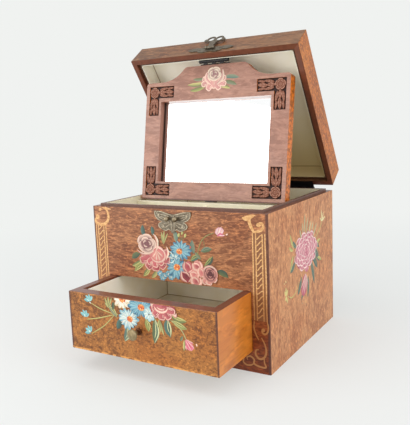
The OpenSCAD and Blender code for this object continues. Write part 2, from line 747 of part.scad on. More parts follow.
module mirror_corners() {
    color(dark_wood) in_mirror() at_corners() translate([0, 0, -pocket_depth]) {
        linear_extrude(ground_t) corner_outline();
        translate([0, 0, ground_t - eps]) {
            rose();
            leaf_spray();
            mirror([1, -1, 0]) leaf_spray();
        }
    }
}

// A small plate under the foot, held by two pins
foot_plate_d = 9;
module foot_pin_set(gap) {
    for (sx = [-1, 1]) translate([sx * foot_plate_w * 0.28, 0, -mirror_t / 2])
        rotate([-90, 0, 0]) cylinder(d = 1.2 + 2 * gap, h = 3);
}
module foot_plate() {
    color(black_iron) in_mirror() union() {
        translate([-foot_plate_w / 2, -foot_plate_t, -mirror_t / 2 - foot_plate_d / 2])
            cube([foot_plate_w, foot_plate_t, foot_plate_d]);
        foot_pin_set(0);
    }
}

// Drawer, drawn shut and then pulled out
drawer_z = sill_h + drawer_gap;
drawer_inner_w = drawer_w - 2 * drawer_side_t;
drawer_inner_d = drawer_len - drawer_front_t - drawer_side_t;
knob_z = drawer_z + drawer_h / 2;
module drawer_front() {
    color(wood) in_drawer() difference() {
        translate([0, front_y, drawer_z]) linear_extrude(drawer_h) polygon([
            [-drawer_w / 2, 0], [drawer_w / 2, 0],
            [drawer_inner_w / 2, drawer_front_t], [-drawer_inner_w / 2, drawer_front_t]
        ]);
        translate([0, front_y - 1, knob_z]) rotate([-90, 0, 0])
            cylinder(d = screw_d + 0.1, h = drawer_front_t + 2);
    }
}
// A drawer side is mitred to the front, and the back stands between the two sides
module drawer_side(sx) {
    color(dark_wood) in_drawer() mirror([sx < 0 ? 1 : 0, 0, 0]) translate([0, front_y, drawer_z])
        linear_extrude(drawer_h) polygon([
            [drawer_w / 2, 0], [drawer_w / 2, drawer_len],
            [drawer_inner_w / 2, drawer_len], [drawer_inner_w / 2, drawer_front_t]
        ]);
}
module drawer_left_side() drawer_side(-1);
module drawer_right_side() drawer_side(1);
module drawer_back() {
    color(dark_wood) in_drawer() translate([-drawer_inner_w / 2, front_y + drawer_len - drawer_side_t, drawer_z])
        cube([drawer_inner_w, drawer_side_t, drawer_h]);
}
module drawer_bottom() {
    color(wood) in_drawer() translate([-drawer_inner_w / 2, front_y + drawer_front_t, drawer_z + drawer_bottom_up])
        cube([drawer_inner_w, drawer_inner_d, drawer_bottom_t]);
}
module drawer_lining() {
    z0 = drawer_z + drawer_bottom_up + drawer_bottom_t;
    color(cream) in_drawer() translate([0, front_y + drawer_front_t + drawer_inner_d / 2, 0]) difference() {
        card_tray(drawer_inner_w, drawer_inner_d, z0, drawer_z + drawer_h - lining_drop);
        translate([0, 0, knob_z]) rotate([90, 0, 0]) cylinder(d = screw_head_d + 1, h = drawer_inner_d);
    }
}
// A turned knob: a foot ring, a stem and a dished disc
screw_d = 3;
screw_head_d = 6;
module drawer_knob() {
    r = knob_d / 2;
    s = knob_stem_d / 2;
    color(old_brass) in_drawer() translate([0, front_y, knob_z]) rotate([90, 0, 0]) difference() {
        rotate_extrude() polygon([
            [0, 0], [s + 1.4, 0], [s + 1.4, 1.2], [s, 2], [s, knob_out - 4.6], [r - 1, knob_out - 3.6],
            [r, knob_out - 2.6], [r, knob_out - 1.6], [r - 0.8, knob_out - 0.8], [0, knob_out]
        ]);
        translate([0, 0, -1]) cylinder(d = screw_d + 0.1, h = knob_out - 4);
    }
}
module knob_screw() {
    color(black_iron) in_drawer() translate([0, front_y, knob_z]) rotate([90, 0, 0]) union() {
        translate([0, 0, -drawer_front_t]) cylinder(d = screw_d, h = drawer_front_t + knob_out - 5.5);
        translate([0, 0, -drawer_front_t - 1.6]) cylinder(d = screw_head_d, h = 1.6);
    }
}

front_board();
back_board();
left_side();
right_side();
base_board();
left_guide();
right_guide();
drawer_stops();
compartment_floor();
front_liner();
back_liner();
left_liner();
right_liner();
case_lining();
cross_partition();
front_divider();
case_hinge_leaves();
rear_hinge_pins();
case_hinge_nails();
catch_plate();
catch_studs();
catch_nails();
lid_front_rail();
lid_back_rail();
lid_left_rail();
lid_right_rail();
lid_top_panel();
lid_front_liner();
lid_back_liner();
lid_left_liner();
lid_right_liner();
lid_lining();
lid_hinge_leaves();
lid_hinge_nails();
latch_plate();
latch_pin();
latch_nails();
mirror_hinge_lid_leaf();
mirror_hinge_pin();
mirror_leaf_nails();
hasp();
mirror_frame();
mirror_glass();
mirror_backing();
mirror_corners();
mirror_hinge_frame_leaf();
frame_leaf_nails();
foot_plate();
drawer_front();
drawer_left_side();
drawer_right_side();
drawer_back();
drawer_bottom();
drawer_lining();
drawer_knob();
knob_screw();
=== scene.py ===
# A vanity box with a folding mirror and one drawer, dressed in its woods, brass and painted flowers.
# Everything is in metres in the part's own frame; sizes that a maker would quote are in millimetres.
import math
import random

import bmesh
import bpy
from mathutils import Matrix, Vector
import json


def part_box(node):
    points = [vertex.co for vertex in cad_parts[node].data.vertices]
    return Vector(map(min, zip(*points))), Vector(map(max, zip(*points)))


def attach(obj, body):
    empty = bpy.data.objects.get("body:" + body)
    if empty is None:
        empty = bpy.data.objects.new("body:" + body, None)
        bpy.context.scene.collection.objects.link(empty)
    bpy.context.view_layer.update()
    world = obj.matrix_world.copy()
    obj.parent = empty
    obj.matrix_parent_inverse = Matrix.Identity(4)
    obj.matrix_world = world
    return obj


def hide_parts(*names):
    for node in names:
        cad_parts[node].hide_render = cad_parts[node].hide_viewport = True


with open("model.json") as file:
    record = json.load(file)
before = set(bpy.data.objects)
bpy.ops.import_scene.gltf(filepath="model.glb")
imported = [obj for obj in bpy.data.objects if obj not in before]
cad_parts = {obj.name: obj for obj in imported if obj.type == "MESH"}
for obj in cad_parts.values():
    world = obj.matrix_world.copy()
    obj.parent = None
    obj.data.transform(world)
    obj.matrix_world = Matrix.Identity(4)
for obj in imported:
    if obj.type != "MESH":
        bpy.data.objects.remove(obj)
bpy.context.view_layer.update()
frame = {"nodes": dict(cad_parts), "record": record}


# The view: a long lens, a little above the box and well round to its right, and rolled by two
# degrees, as the box was photographed.
def placed(name, data, body=None):
    """An object in the scene. A piece of the part rides on its body, and the studio's things on none."""
    made = bpy.data.objects.new(name, data)
    bpy.context.scene.collection.objects.link(made)
    if body:
        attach(made, body)
    return made


camera = placed("camera", bpy.data.cameras.new("camera"))
bpy.context.scene.camera = camera
camera.data.lens, camera.data.sensor_width = 49.5, 36
around, above, roll = (math.radians(a) for a in (30.579, 8.739, -2.294))
backward = Vector((math.sin(around) * math.cos(above), -math.cos(around) * math.cos(above), math.sin(above)))
level = Vector((math.cos(around), math.sin(around), 0))
upward = backward.cross(level)
standpoint = (0.3728, -0.6649, 0.2780)
camera.matrix_world = Matrix.Translation(standpoint) @ Matrix((
    level * math.cos(roll) + upward * math.sin(roll),
    upward * math.cos(roll) - level * math.sin(roll),
    backward,
)).transposed().to_4x4()
bpy.context.scene.view_settings.view_transform = "Standard"


# The studio: a white room with three large soft lamps, at the right, in front and above. A finish
# is one material, and its maths is written as expressions on the values that its nodes give.
class Value:
    """What a node gives; arithmetic on it adds the Math nodes."""

    def __init__(self, finish, socket):
        self.finish, self.socket = finish, socket

    def maths(self, operation, *terms):
        return self.finish.node("Math", {"operation": operation}, dict(enumerate(terms)))

    def __add__(self, other):
        return self.maths("ADD", self, other)

    def __radd__(self, other):
        return self.maths("ADD", other, self)

    def __sub__(self, other):
        return self.maths("SUBTRACT", self, other)

    def __rsub__(self, other):
        return self.maths("SUBTRACT", other, self)

    def __mul__(self, other):
        return self.maths("MULTIPLY", self, other)

    def __rmul__(self, other):
        return self.maths("MULTIPLY", other, self)

    def __abs__(self):
        return self.maths("ABSOLUTE", self)

    def larger(self, other):
        return self.maths("MAXIMUM", self, other)

    def smaller(self, other):
        return self.maths("MINIMUM", self, other)


class Finish:
    """One material of the box, or of the room, built node by node."""

    def __init__(self, name, tree=None):
        if tree is None:
            self.material = bpy.data.materials.new(name)
            self.material.use_nodes = True
            tree = self.material.node_tree
        self.tree = tree
        tree.nodes.clear()

    def node(self, kind, settings=(), sockets=(), out=0):
        """A node with its settings and what its sockets take, as the value of one of its outputs."""
        made = self.tree.nodes.new("ShaderNode" + kind)
        for name, setting in dict(settings).items():
            setattr(made, name, setting)
        for name, value in dict(sockets).items():
            if isinstance(value, Value):
                self.tree.links.new(value.socket, made.inputs[name])
            else:
                made.inputs[name].default_value = value
        return Value(self, made.outputs[out]) if len(made.outputs) else None

    def mixed(self, first, second, share, kind="MIX"):
        """Two colours, or a colour and a tint, mixed by a share of the second."""
        return self.node("Mix", {"data_type": "RGBA", "blend_type": kind, "clamp_result": True},
                         {0: share, 6: first, 7: second}, 2)

    def ramped(self, value, low, high, start=0.0, end=1.0):
        """start below low and end above high, with a smooth step between them."""
        return self.node("MapRange", {"interpolation_type": "SMOOTHSTEP"},
                         {"Value": value, "From Min": low, "From Max": high, "To Min": start, "To Max": end})

    def place(self, size, turn=(0, 0, 0), shift=(0, 0, 0)):
        """The piece's own coordinates, turned to its grain, with features of the given size."""
        here = self.node("TexCoord", out="Object")
        return self.node("Mapping", {"vector_type": "TEXTURE"},
                         {"Vector": here, "Rotation": turn, "Scale": size, "Location": shift})

    def along(self, axis, turn=(0, 0, 0)):
        """How far a point lies along an axis of its piece, or of its body's upright frame."""
        return self.node("SeparateXYZ", {}, {0: self.place((1, 1, 1), turn)}, axis)

    def cloud(self, size, detail=2.0, rough=0.5, turn=(0, 0, 0), shift=(0, 0, 0), warp=0.0):
        """Noise with features of a size in metres along each axis, about 0.5."""
        return self.node("TexNoise", {}, {"Vector": self.place(size, turn, shift), "Scale": 1.0,
                                          "Detail": detail, "Roughness": rough, "Distortion": warp})

    def surface(self, colour, roughness, fixed=(), height=None, relief=0.0002, strength=0.5,
                metallic=0.0):
        """The shader: fixed holds its constant sockets, and height what stands up to relief metres."""
        sockets = {"Base Color": colour, "Roughness": roughness, "Metallic": metallic, **dict(fixed)}
        if height is not None:
            sockets["Normal"] = self.node("Bump", {}, {
                "Height": height, "Distance": relief, "Strength": strength})
        self.node("OutputMaterial", {}, {"Surface": self.node("BsdfPrincipled", {}, sockets)})
        return self.material


def paint(red, green, blue):
    """A colour read as 0 to 255, as the linear colour that a shader takes."""
    shares = (c / 255 for c in (red, green, blue))
    return *(c / 12.92 if c < 0.0405 else ((c + 0.055) / 1.055) ** 2.4 for c in shares), 1


def lamp(name, at, aim, size, power):
    """A square soft lamp of a size in metres and a power in watts, turned to what it is aimed at."""
    light = bpy.data.lights.new(name, "AREA")
    light.shape, light.size, light.energy = "SQUARE", size, power
    made = placed(name, light)
    made.location = at
    made.rotation_euler = (Vector(aim) - Vector(at)).to_track_quat("-Z", "Y").to_euler()


lamp("right_softbox", (1.6, -0.35, 1.0), (0, 0, 0.15), 1.4, 9.5)
lamp("front_softbox", (-0.9, -1.25, 0.3), (0, 0, 0.2), 1.1, 15)
lamp("top_softbox", (-0.2, -0.8, 1.8), (0, -0.05, 0.1), 1.3, 6)

world = bpy.data.worlds.new("room")
world.use_nodes = True
bpy.context.scene.world = world
room = Finish("room", world.node_tree)
camera_ray, glossy_ray, clear_ray = (
    room.node("LightPath", out="Is " + ray + " Ray") for ray in ("Camera", "Glossy", "Transmission"))
direct = (camera_ray + glossy_ray + clear_ray).smaller(1.0)
wall_white = paint(240, 242, 240)
room_tone = room.mixed((1, 1, 1, 1), wall_white, camera_ray)
room.node("OutputWorld", {}, {"Surface": room.node(
    "Background", {}, {"Color": room_tone, "Strength": 0.86 + 0.14 * direct})})

floor_sheet = bpy.data.meshes.new("floor")
floor_sheet.from_pydata([(-6, -6, 0), (6, -6, 0), (6, 6, 0), (-6, 6, 0)], [], [(0, 1, 2, 3)])
floor = placed("floor", floor_sheet)
sweep = Finish("white_sweep")
reach = sweep.node("VectorMath", {"operation": "LENGTH"}, {0: sweep.place((1, 1, 1))}, "Value")
sweep.node("OutputMaterial", {}, {"Surface": sweep.node("MixShader", {}, {
    0: sweep.ramped(reach, 0.3, 1.1, 0.45),
    1: sweep.node("BsdfDiffuse", {}, {"Color": (0.73, 0.75, 0.745, 1)}),
    2: sweep.node("Emission", {}, {"Color": wall_white, "Strength": 1.0})})})
floor_sheet.materials.append(sweep.material)


# The case: four mitred boards faced with a figured brown veneer under satin lacquer, on dark cut
# edges. The figure is short wavy flecks along the grain, level on the front and upright on the side.
homes = {node: body for body, nodes in frame["record"]["behaviour"]["bodies"].items() for node in nodes}
tilts = {"case": 0.0, "drawer": 0.0, "lid": -55.2, "mirror": -10.0, "hasp": -235.2}


def turn_of(body):
    """The turn of a body's own upright frame at rest."""
    return (math.radians(tilts[body]), 0.0, 0.0)


def upright_of(body):
    """What turns a point or a direction into the body's upright frame."""
    return Matrix.Rotation(-math.radians(tilts[body]), 3, "X")


def upright_box(node):
    """The low and high corners of a CAD node in its body's upright frame."""
    upright = upright_of(homes[node])
    sides = list(zip(*(upright @ vertex.co for vertex in frame["nodes"][node].data.vertices)))
    return Vector(map(min, sides)), Vector(map(max, sides))


def wood(name, pale, deep, fleck, along, body="case", figure=0.022, flecks=0.7, gloss=0.4, coat=0.1,
         slim=0.3, foot=None, arris=(), worn=None):
    """Veneer with its figure along an axis. slim is a mark's width as a share of its length, and foot
    the tint multiplied in towards the floor as painted shade. arris lists the axes and places from which
    the stain darkens to an edge, and worn the height below which the colour is rubbed off."""
    grain = Finish(name)
    turn = turn_of(body)
    across, outwards, high = (grain.along(axis, turn) for axis in "XYZ")
    place = {"x": abs(across), "y": outwards, "z": high}

    def size(length, width):
        return tuple(length if axis == along else width for axis in "xyz")

    drift = grain.cloud(size(0.16, 0.06), 1.0, 0.5, turn)
    curl = grain.cloud(size(figure, figure * slim), 3.0, 0.65, turn, warp=0.8)
    fine = grain.cloud(size(figure * 0.42, figure * slim * 0.24), 2.0, 0.65, turn, (0.3, 0.1, 0.2), 0.5)
    glint = grain.cloud(size(figure * 0.3, figure * slim * 0.4), 2.0, 0.6, turn, (0.7, 0.2, 0.5), 0.6)
    pores = grain.cloud(size(0.004, 0.0004), 1.0, 0.5, turn)
    share = grain.ramped(0.7 * curl + 0.3 * drift, 0.4, 0.6)
    ground = grain.mixed(paint(*deep), paint(*pale), share)
    bright = [min(255, 1.24 * c) for c in pale]
    ground = grain.mixed(ground, paint(*bright), grain.ramped(glint, 0.5, 0.68) * flecks)
    marks = grain.ramped(fine, 0.5, 0.68) * flecks
    colour = grain.mixed(ground, paint(*fleck), marks)
    blush = grain.ramped(grain.cloud((0.05, 0.05, 0.04), 1.0, 0.5, turn, (0.2, 0.6, 0.1)), 0.46, 0.68)
    colour = grain.mixed(colour, (0.96, 0.8, 0.66, 1), blush * flecks, "MULTIPLY")
    if foot:
        # painted shade: the colour is multiplied darker and redder towards the floor
        colour = grain.mixed(colour, paint(*foot), grain.ramped(high, 0.13, 0.03), "MULTIPLY")
    for axis, start, full in arris:
        colour = grain.mixed(colour, paint(84, 50, 42), grain.ramped(place[axis], start, full) * 0.85)
    if worn:
        bare_spots = grain.ramped(grain.cloud((0.006, 0.006, 0.003), 2.0, 0.6), 0.44, 0.56)
        colour = grain.mixed(colour, paint(224, 158, 84), grain.ramped(high, worn + 0.003, worn) * bare_spots)
    lacquer = {"Coat Weight": coat, "Coat Roughness": 0.22, "Specular IOR Level": 0.3}
    return grain.surface(colour, gloss + 0.14 * fine, lacquer,
                         height=0.5 * fine + 0.5 * pores, relief=0.00006, strength=0.35)


def plain(name, colour, roughness=0.5, spread=0.12, size=0.006, coat=0.0):
    """A board edge or a bare board: one colour, clouded a little lighter and darker."""
    bare = Finish(name)
    cloudy = bare.cloud((size, size, size), 3.0, 0.6)
    tint = bare.mixed(tuple(c * (1 - spread) for c in paint(*colour)[:3]) + (1,),
                      tuple(min(1, c * (1 + spread)) for c in paint(*colour)[:3]) + (1,),
                      bare.ramped(cloudy, 0.35, 0.65))
    return bare.surface(tint, roughness + 0.08 * cloudy, {"Coat Weight": coat, "Specular IOR Level": 0.3},
                        height=cloudy, relief=0.00008)


def dressed(node, coats, soften=0.0007, shortest=0.004):
    """A copy of a CAD node with softened arrises, left sharp where two mitred pieces meet. coats are
    pairs of a material and a test of a face, and the last whose test holds wins. A test is given the
    face's direction in the body's upright frame and its middle as it stands."""
    upright = upright_of(homes[node])
    form = bmesh.new()
    form.from_mesh(frame["nodes"][node].data)
    bmesh.ops.remove_doubles(form, verts=form.verts, dist=1e-6)
    bmesh.ops.dissolve_limit(form, angle_limit=math.radians(1), verts=form.verts, edges=form.edges)

    def is_joint(face):
        way = upright @ face.normal
        return abs(way.x) > 0.5 and abs(way.y) > 0.5

    arrises = [e for e in form.edges if len(e.link_faces) == 2 and e.calc_face_angle(0) > 0.6
               and e.calc_length() > shortest and not any(is_joint(f) for f in e.link_faces)]
    if arrises and soften:
        bmesh.ops.bevel(form, geom=arrises, offset=soften, offset_type="OFFSET", segments=2,
                        profile=0.5, affect="EDGES", clamp_overlap=True)
    form.normal_update()
    for face in form.faces:
        way, middle = upright @ face.normal, face.calc_center_median()
        for index, (_, test) in enumerate(coats):
            if test(way, middle):
                face.material_index = index
    mesh = bpy.data.meshes.new(node + "_dressed")
    form.to_mesh(mesh)
    form.free()
    for material, _ in coats:
        mesh.materials.append(material)
    piece = placed(node + "_dressed", mesh, homes[node])
    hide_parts(node)


def everywhere(way, middle):
    return True


# The front's foot tint is painted shade, darker and redder near the floor.
front_veneer = wood("front_veneer", (178, 120, 78), (124, 73, 42), (84, 42, 24), "x", figure=0.02, slim=0.26,
                    flecks=0.6, foot=(196, 146, 104), arris=[("x", 0.1164, 0.1182)])
side_veneer = wood("side_veneer", (202, 142, 94), (162, 102, 62), (128, 72, 40), "z", figure=0.016,
                   flecks=0.5, slim=0.45, arris=[("y", -0.1058, -0.1072), ("y", 0.1062, 0.1074)])
cut_edge = plain("cut_edge", (112, 66, 46), 0.42, coat=0.2)
back_veneer = wood("back_veneer", (172, 118, 78), (126, 78, 48), (88, 48, 28), "x", figure=0.024, slim=0.26)
for board, face in (("front_board", front_veneer), ("back_board", back_veneer)):
    dressed(board, [
        (face, everywhere),
        (cut_edge, lambda way, middle: abs(way.z) > 0.6),
        (cut_edge, lambda way, middle: abs(way.x) > 0.6 and abs(middle.x) < 0.1),
    ])
for board in ("left_side", "right_side"):
    dressed(board, [
        (side_veneer, everywhere), (cut_edge, lambda way, middle: abs(way.z) > 0.6)])


# Inside the case: plain boards that carry the drawer and the compartment, seen only with the
# drawer out or from below.
bare_board = wood("bare_board", (214, 186, 150), (198, 166, 128), (168, 134, 96), "y", figure=0.05,
                  flecks=0.3, gloss=0.6, coat=0.0)
for board in ("base_board", "left_guide", "right_guide", "drawer_stops", "compartment_floor", "drawer_bottom",
              "mirror_backing"):
    dressed(board, [(bare_board, everywhere)], 0.0004)


# The lip: four dark stained liners that stand a little above the outer boards and locate the lid,
# and the four that back the lid's rails.
liner_stain = plain("liner_stain", (104, 70, 56), 0.36, size=0.003, coat=0.3)
lid_liner_stain = plain("lid_liner_stain", (84, 54, 36), 0.4, size=0.003, coat=0.15)
for side in ("front", "back", "left", "right"):
    dressed(side + "_liner", [(liner_stain, everywhere)], 0.0005)
    dressed("lid_" + side + "_liner", [(lid_liner_stain, everywhere)], 0.0005)


# The linings: folded trays of cream card in the compartment, the lid and the drawer, and two
# partitions covered with it. The card has a fine tooth and is a little uneven from glue. Painted shade
# darkens it along its folds and towards the lid's back, and the drawer's and the lid's card are paler
# than the case's as painted light.
def card(name, colour, shade, fold=None, back_shade=None):
    """Cream card. fold is what folded takes, and the last argument the tone of the painted shade that
    darkens the tray towards its back.
    """
    sheet = Finish(name)
    tooth = sheet.cloud((0.0006, 0.0006, 0.0006), 2.0, 0.7)
    glue = sheet.cloud((0.03, 0.03, 0.03), 2.0, 0.5)
    tint = sheet.mixed(paint(*shade), paint(*colour), sheet.ramped(glue, 0.3, 0.62))
    # painted shade: the card darkens and yellows towards the tray's back
    if back_shade:
        body, _, front, back = fold[:4]
        depth = sheet.along("Y", turn_of(body))
        tint = sheet.mixed(tint, paint(*back_shade), sheet.ramped(depth, front, back))
    if fold:
        # painted shade: brown lines along the tray's folds and corners
        tint = sheet.mixed(tint, paint(150, 124, 86), folded(sheet, *fold) * 0.75)
    return sheet.surface(tint, 0.75 + 0.1 * tooth, {"Sheen Weight": 0.1}, height=tooth, relief=0.00006)


def folded(sheet, body, side, front, back, level, rising):
    """The painted shade along a tray's folds: thin brown lines where its walls, which stand on their flat
    part or hang from it, are folded and meet. The tray's inner faces are given in the body's upright frame."""
    x, y, z = (sheet.along(axis, turn_of(body)) for axis in "XYZ")
    past_side = abs(x) - side
    past_end = abs(y - (front + back) / 2) - (back - front) / 2
    near, line = -0.0011, -0.0006
    foot = sheet.ramped(rising * (level - z), near, line)
    border = sheet.ramped(past_side.larger(past_end), near, line)
    corner = sheet.ramped(past_side.smaller(past_end), near, line)
    return (border * foot).larger(corner)


def tray_card(node, name, colour, shade, rising=1, back_shade=None):
    """The card of a tray, which is folded a card's thickness inside the tray's box. A tray that
    hangs from its flat part has a rising of -1."""
    low, high = upright_box(node)
    thick = 0.0008
    level = low.z + thick if rising > 0 else high.z - thick
    return card(name, colour, shade,
                (homes[node], high.x - thick, low.y + thick, high.y - thick, level, rising), back_shade)


cream_card = card("cream_card", (236, 230, 206), (226, 218, 190))
case_card = tray_card("case_lining", "case_card", (236, 230, 206), (226, 218, 190))
# painted light: the drawer's and the lid's card are paler copies of the case's card
drawer_card = tray_card("drawer_lining", "drawer_card", (253, 249, 236), (248, 242, 222))
# the lid's card darkens towards its back as painted shade
lid_card = tray_card("lid_lining", "lid_card", (254, 252, 238), (248, 245, 226), -1, (214, 196, 146))
for tray, coat in (("case_lining", case_card), ("cross_partition", cream_card), ("front_divider", cream_card),
                   ("drawer_lining", drawer_card)):
    dressed(tray, [(coat, everywhere)], 0.0003)
dressed("lid_lining", [(lid_card, everywhere)], 0.0)


# The lid: four mitred rails and a top panel, with the veneer running along each rail. The front and
# back rails' veneer is a darker copy of the case's, as painted shade. The rails are stained dark on
# their lower edges and on the inner faces of the side rails.
# painted shade: a darker copy of the case's veneer for the lid's front and back
shaded_lid_veneer = wood("shaded_lid_veneer", (128, 90, 58), (96, 62, 38), (68, 40, 24), "x", "lid", figure=0.03, slim=0.2)
lid_side_veneer = wood("lid_side_veneer", (190, 112, 38), (144, 78, 22), (84, 42, 12), "y", "lid",
                       figure=0.01, slim=0.7, flecks=0.6)
lid_edge = plain("lid_edge", (108, 58, 36), 0.42, coat=0.15)


def is_stained(way, middle):
    """A rail's lower edge, or the face of a side rail that looks to the lid's middle."""
    return way.z < -0.6 or way.x * middle.x < -0.03


for rail, face in (("front", shaded_lid_veneer), ("back", shaded_lid_veneer), ("left", lid_side_veneer),
                   ("right", lid_side_veneer)):
    dressed("lid_" + rail + "_rail", [(face, everywhere), (lid_edge, is_stained)])
top_veneer = wood("top_veneer", (172, 116, 76), (122, 74, 44), (84, 44, 26), "x", "lid", figure=0.024,
                  slim=0.26)
dressed("lid_top_panel", [
    (top_veneer, everywhere), (lid_side_veneer, lambda way, middle: abs(way.x) > 0.6),
    (shaded_lid_veneer, lambda way, middle: abs(way.y) > 0.6)])


# The drawer: a figured front between varnished sides, all on dark top edges.
drawer_low, drawer_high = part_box("drawer_front")
drawer_veneer = wood("drawer_veneer", (168, 109, 52), (116, 70, 34), (76, 40, 18), "x", "drawer",
                     figure=0.009, slim=0.7, flecks=0.6, worn=drawer_low.z + 0.0008,
                     arris=[("x", drawer_high.x - 0.0032, drawer_high.x - 0.0014)])
varnished = wood("varnished", (206, 124, 42), (184, 98, 18), (146, 74, 14), "y", "drawer", figure=0.09,
                 flecks=0.35, gloss=0.3, coat=0.5)
rim_stain = plain("rim_stain", (110, 60, 40), 0.35, coat=0.3)


def is_top(way, middle):
    return way.z > 0.6


dressed("drawer_front", [
    (drawer_veneer, everywhere), (varnished, lambda way, middle: way.z < -0.6), (rim_stain, is_top),
    (rim_stain, lambda way, middle: way.y > 0.8)], 0.0009)
for board in ("drawer_left_side", "drawer_right_side", "drawer_back"):
    dressed(board, [
        (varnished, everywhere), (rim_stain, is_top),
        (rim_stain, lambda way, middle: abs(middle.x) < 0.09 and abs(way.x) > 0.8)], 0.0009)


# The mirror frame: one arched board, pinkish brown on its face and rust-brown on its sawn edges.
# The reveal round the glass darkens towards the glass as painted shade in the recess.
frame_low = upright_box("mirror_frame")[0]
frame_veneer = wood("frame_veneer", (168, 124, 106), (144, 102, 86), (120, 78, 62), "x", "mirror",
                    figure=0.03, slim=0.3, flecks=0.25, gloss=0.36, coat=0.15,
                    arris=[("z", frame_low.z + 0.002, frame_low.z + 0.0008)])
frame_edge = plain("frame_edge", (184, 98, 22), 0.42, spread=0.5, size=0.004, coat=0.15)
reveal = Finish("frame_reveal")
sunk = reveal.along("Y", turn_of("mirror")) - frame_low.y
# painted shade: the reveal darkens deeper in the recess
recess_shade = reveal.mixed(paint(166, 112, 92), paint(92, 66, 56), reveal.ramped(sunk, 0.006, 0.0094))
frame_reveal = reveal.surface(recess_shade, 0.42 + 0.1 * reveal.cloud((0.004, 0.004, 0.004)), {"Coat Weight": 0.2})


def is_sawn(way, middle):
    return abs(way.y) < 0.5


opening_half, opening_low, opening_high = 0.082, 0.19, 0.314


def is_reveal(way, middle):
    return is_sawn(way, middle) and abs(middle.x) < opening_half and opening_low < middle.z < opening_high


dressed("mirror_frame", [
    (frame_veneer, everywhere), (frame_edge, is_sawn), (frame_reveal, is_reveal)], 0.0012)


# The looking glass: silvered glass in the frame's rebate, darkened along its two sides as painted shade.
def coated(material, *nodes):
    """Give CAD nodes that keep their own shape a material."""
    for node in nodes:
        frame["nodes"][node].data.materials.clear()
        frame["nodes"][node].data.materials.append(material)


silvered = Finish("silvered_glass")
bright_half, dark_half = 0.0742, 0.0806
# painted shade along the glass's two sides, beside the rebate
edge_shade = silvered.ramped(abs(silvered.along("X")), bright_half, dark_half)
silver = silvered.mixed((0.97, 0.98, 0.98, 1), paint(74, 62, 60), edge_shade)
ripple = silvered.cloud((0.05, 0.05, 0.05), 1.0)
coated(silvered.surface(silver, 0.012 + 0.01 * ripple, metallic=1.0), "mirror_glass")


# The carved corners: an L of dark stained wood let into each corner of the frame, with an open rose
# where the arms meet and buds between leaves along them, cut down to a flat ground. Its colour runs
# from dark in the hollows to pale on the tops, partly stain and wear, partly painted shade and highlight.
# In millimetres: an arm's width and length and the relief's step, how far the ground and the
# bottom lie under the frame's face, and how far the carving keeps off the frame's sides and ends.
ARM, REACH, GRAIN = 15.6, 38.8, 0.4
GROUND, BED = -1.7, -2.6
FROM_MIDDLE, FROM_FOOT, TO_TOP = 99.7, 5.3, 151.7


def step_up(low, high, value):
    """0 below low and 1 above high, with a smooth step between, or the other way round."""
    share = min(1, max(0, (value - low) / (high - low)))
    return share * share * (3 - 2 * share)


def carved_leaf(x, y, base, tip, width, veins):
    """The height of a leaf, with its midrib and side veins cut in; nothing outside its edge."""
    along = Vector(tip) - Vector(base)
    offset = Vector((x, y)) - Vector(base)
    share = offset.dot(along) / along.length_squared
    if not 0 < share < 1:
        return GROUND
    across = abs(along.cross(offset)) / along.length / (width / 2 * math.sin(math.pi * share ** 0.8) ** 0.6)
    if across >= 1:
        return GROUND
    crown = 0.24 - 0.3 * across ** 2
    cut = 0.7 * math.exp(-(across / 0.13) ** 2)
    cut += 0.28 * max(0, math.sin(2 * math.pi * (share * veins - across * 0.7))) * step_up(0.1, 0.4, across)
    return GROUND + (crown - cut - GROUND) * step_up(1, 0.8, across)


def carved_rose(x, y, centre, size):
    """Five cupped outer petals, five within them turned between, and a coiled heart."""
    reach = math.hypot(x - centre[0], y - centre[1]) / size
    angle = math.atan2(y - centre[1], x - centre[0])
    height = GROUND
    for start, outer, inner, top in ((0.3, 1.0, 0.5, 0.32), (0.93, 0.66, 0.3, 0.36)):
        lobe = abs(math.cos(2.5 * (angle + start)))
        edge = outer * (0.84 + 0.16 * lobe ** 0.5)
        if reach < edge:
            rim = step_up(inner, edge * 0.93, reach) * step_up(edge, edge * 0.93, reach)
            between = 0.9 * math.exp(-(lobe / 0.16) ** 2)
            height = max(height, top - 1.0 + rim - between)
    if reach < 0.34:
        coil = math.sin(2 * math.pi * (reach / 0.17 - angle / (2 * math.pi)))
        height = 0.36 * coil
    return height


def carving(x, y, lean):
    """The relief at a point of the lower left corner, in millimetres over the frame's face."""
    height = carved_rose(x, y, (7.9, 7.9), 7.4)
    if max(x, y) > 13:
        run, side = (x, y) if x > y else (y, x)
        side = ARM - side if lean else side
        for base, tip, width, veins in (
                ((14.5, 7.8), (26.5, 7.8), 5.4, 3), ((16, 11.0), (29.5, 13.4), 4.6, 4),
                ((16, 4.6), (29.5, 2.3), 4.6, 4), ((25, 8.6), (38.3, 7.2), 6.4, 3),
                ((28, 12.0), (38.2, 13.2), 3.6, 3), ((28, 3.8), (38.2, 2.4), 3.6, 3)):
            height = max(height, carved_leaf(run, side, base, tip, width, veins))
    return min(height, 0.38)


frame_turn = upright_of("mirror").transposed()
frame_up, frame_out = frame_turn @ Vector((0, 0, 1)), frame_turn @ Vector((0, -1, 0))
frame_foot = frame_turn @ Vector((0, frame_low.y, frame_low.z))
relief = bmesh.new()
cells = round(REACH / GRAIN)


def carved_point(grid, column, row, flip_x, flip_y):
    """The relief's vertex at a step along and up a corner, made when a face first needs it."""
    if (column, row) not in grid:
        x, y = column * GRAIN, row * GRAIN
        across = (FROM_MIDDLE - x) * -flip_x
        up = FROM_FOOT + y if flip_y > 0 else TO_TOP - y
        rise = carving(x, y, flip_x * flip_y < 0)
        if min(x, y) < 0.01 or max(x, y) > REACH - 0.01:
            rise = GROUND
        grid[column, row] = relief.verts.new(
            frame_foot + (Vector((across, 0, 0)) + frame_up * up + frame_out * rise) * 0.001)
    return grid[column, row]


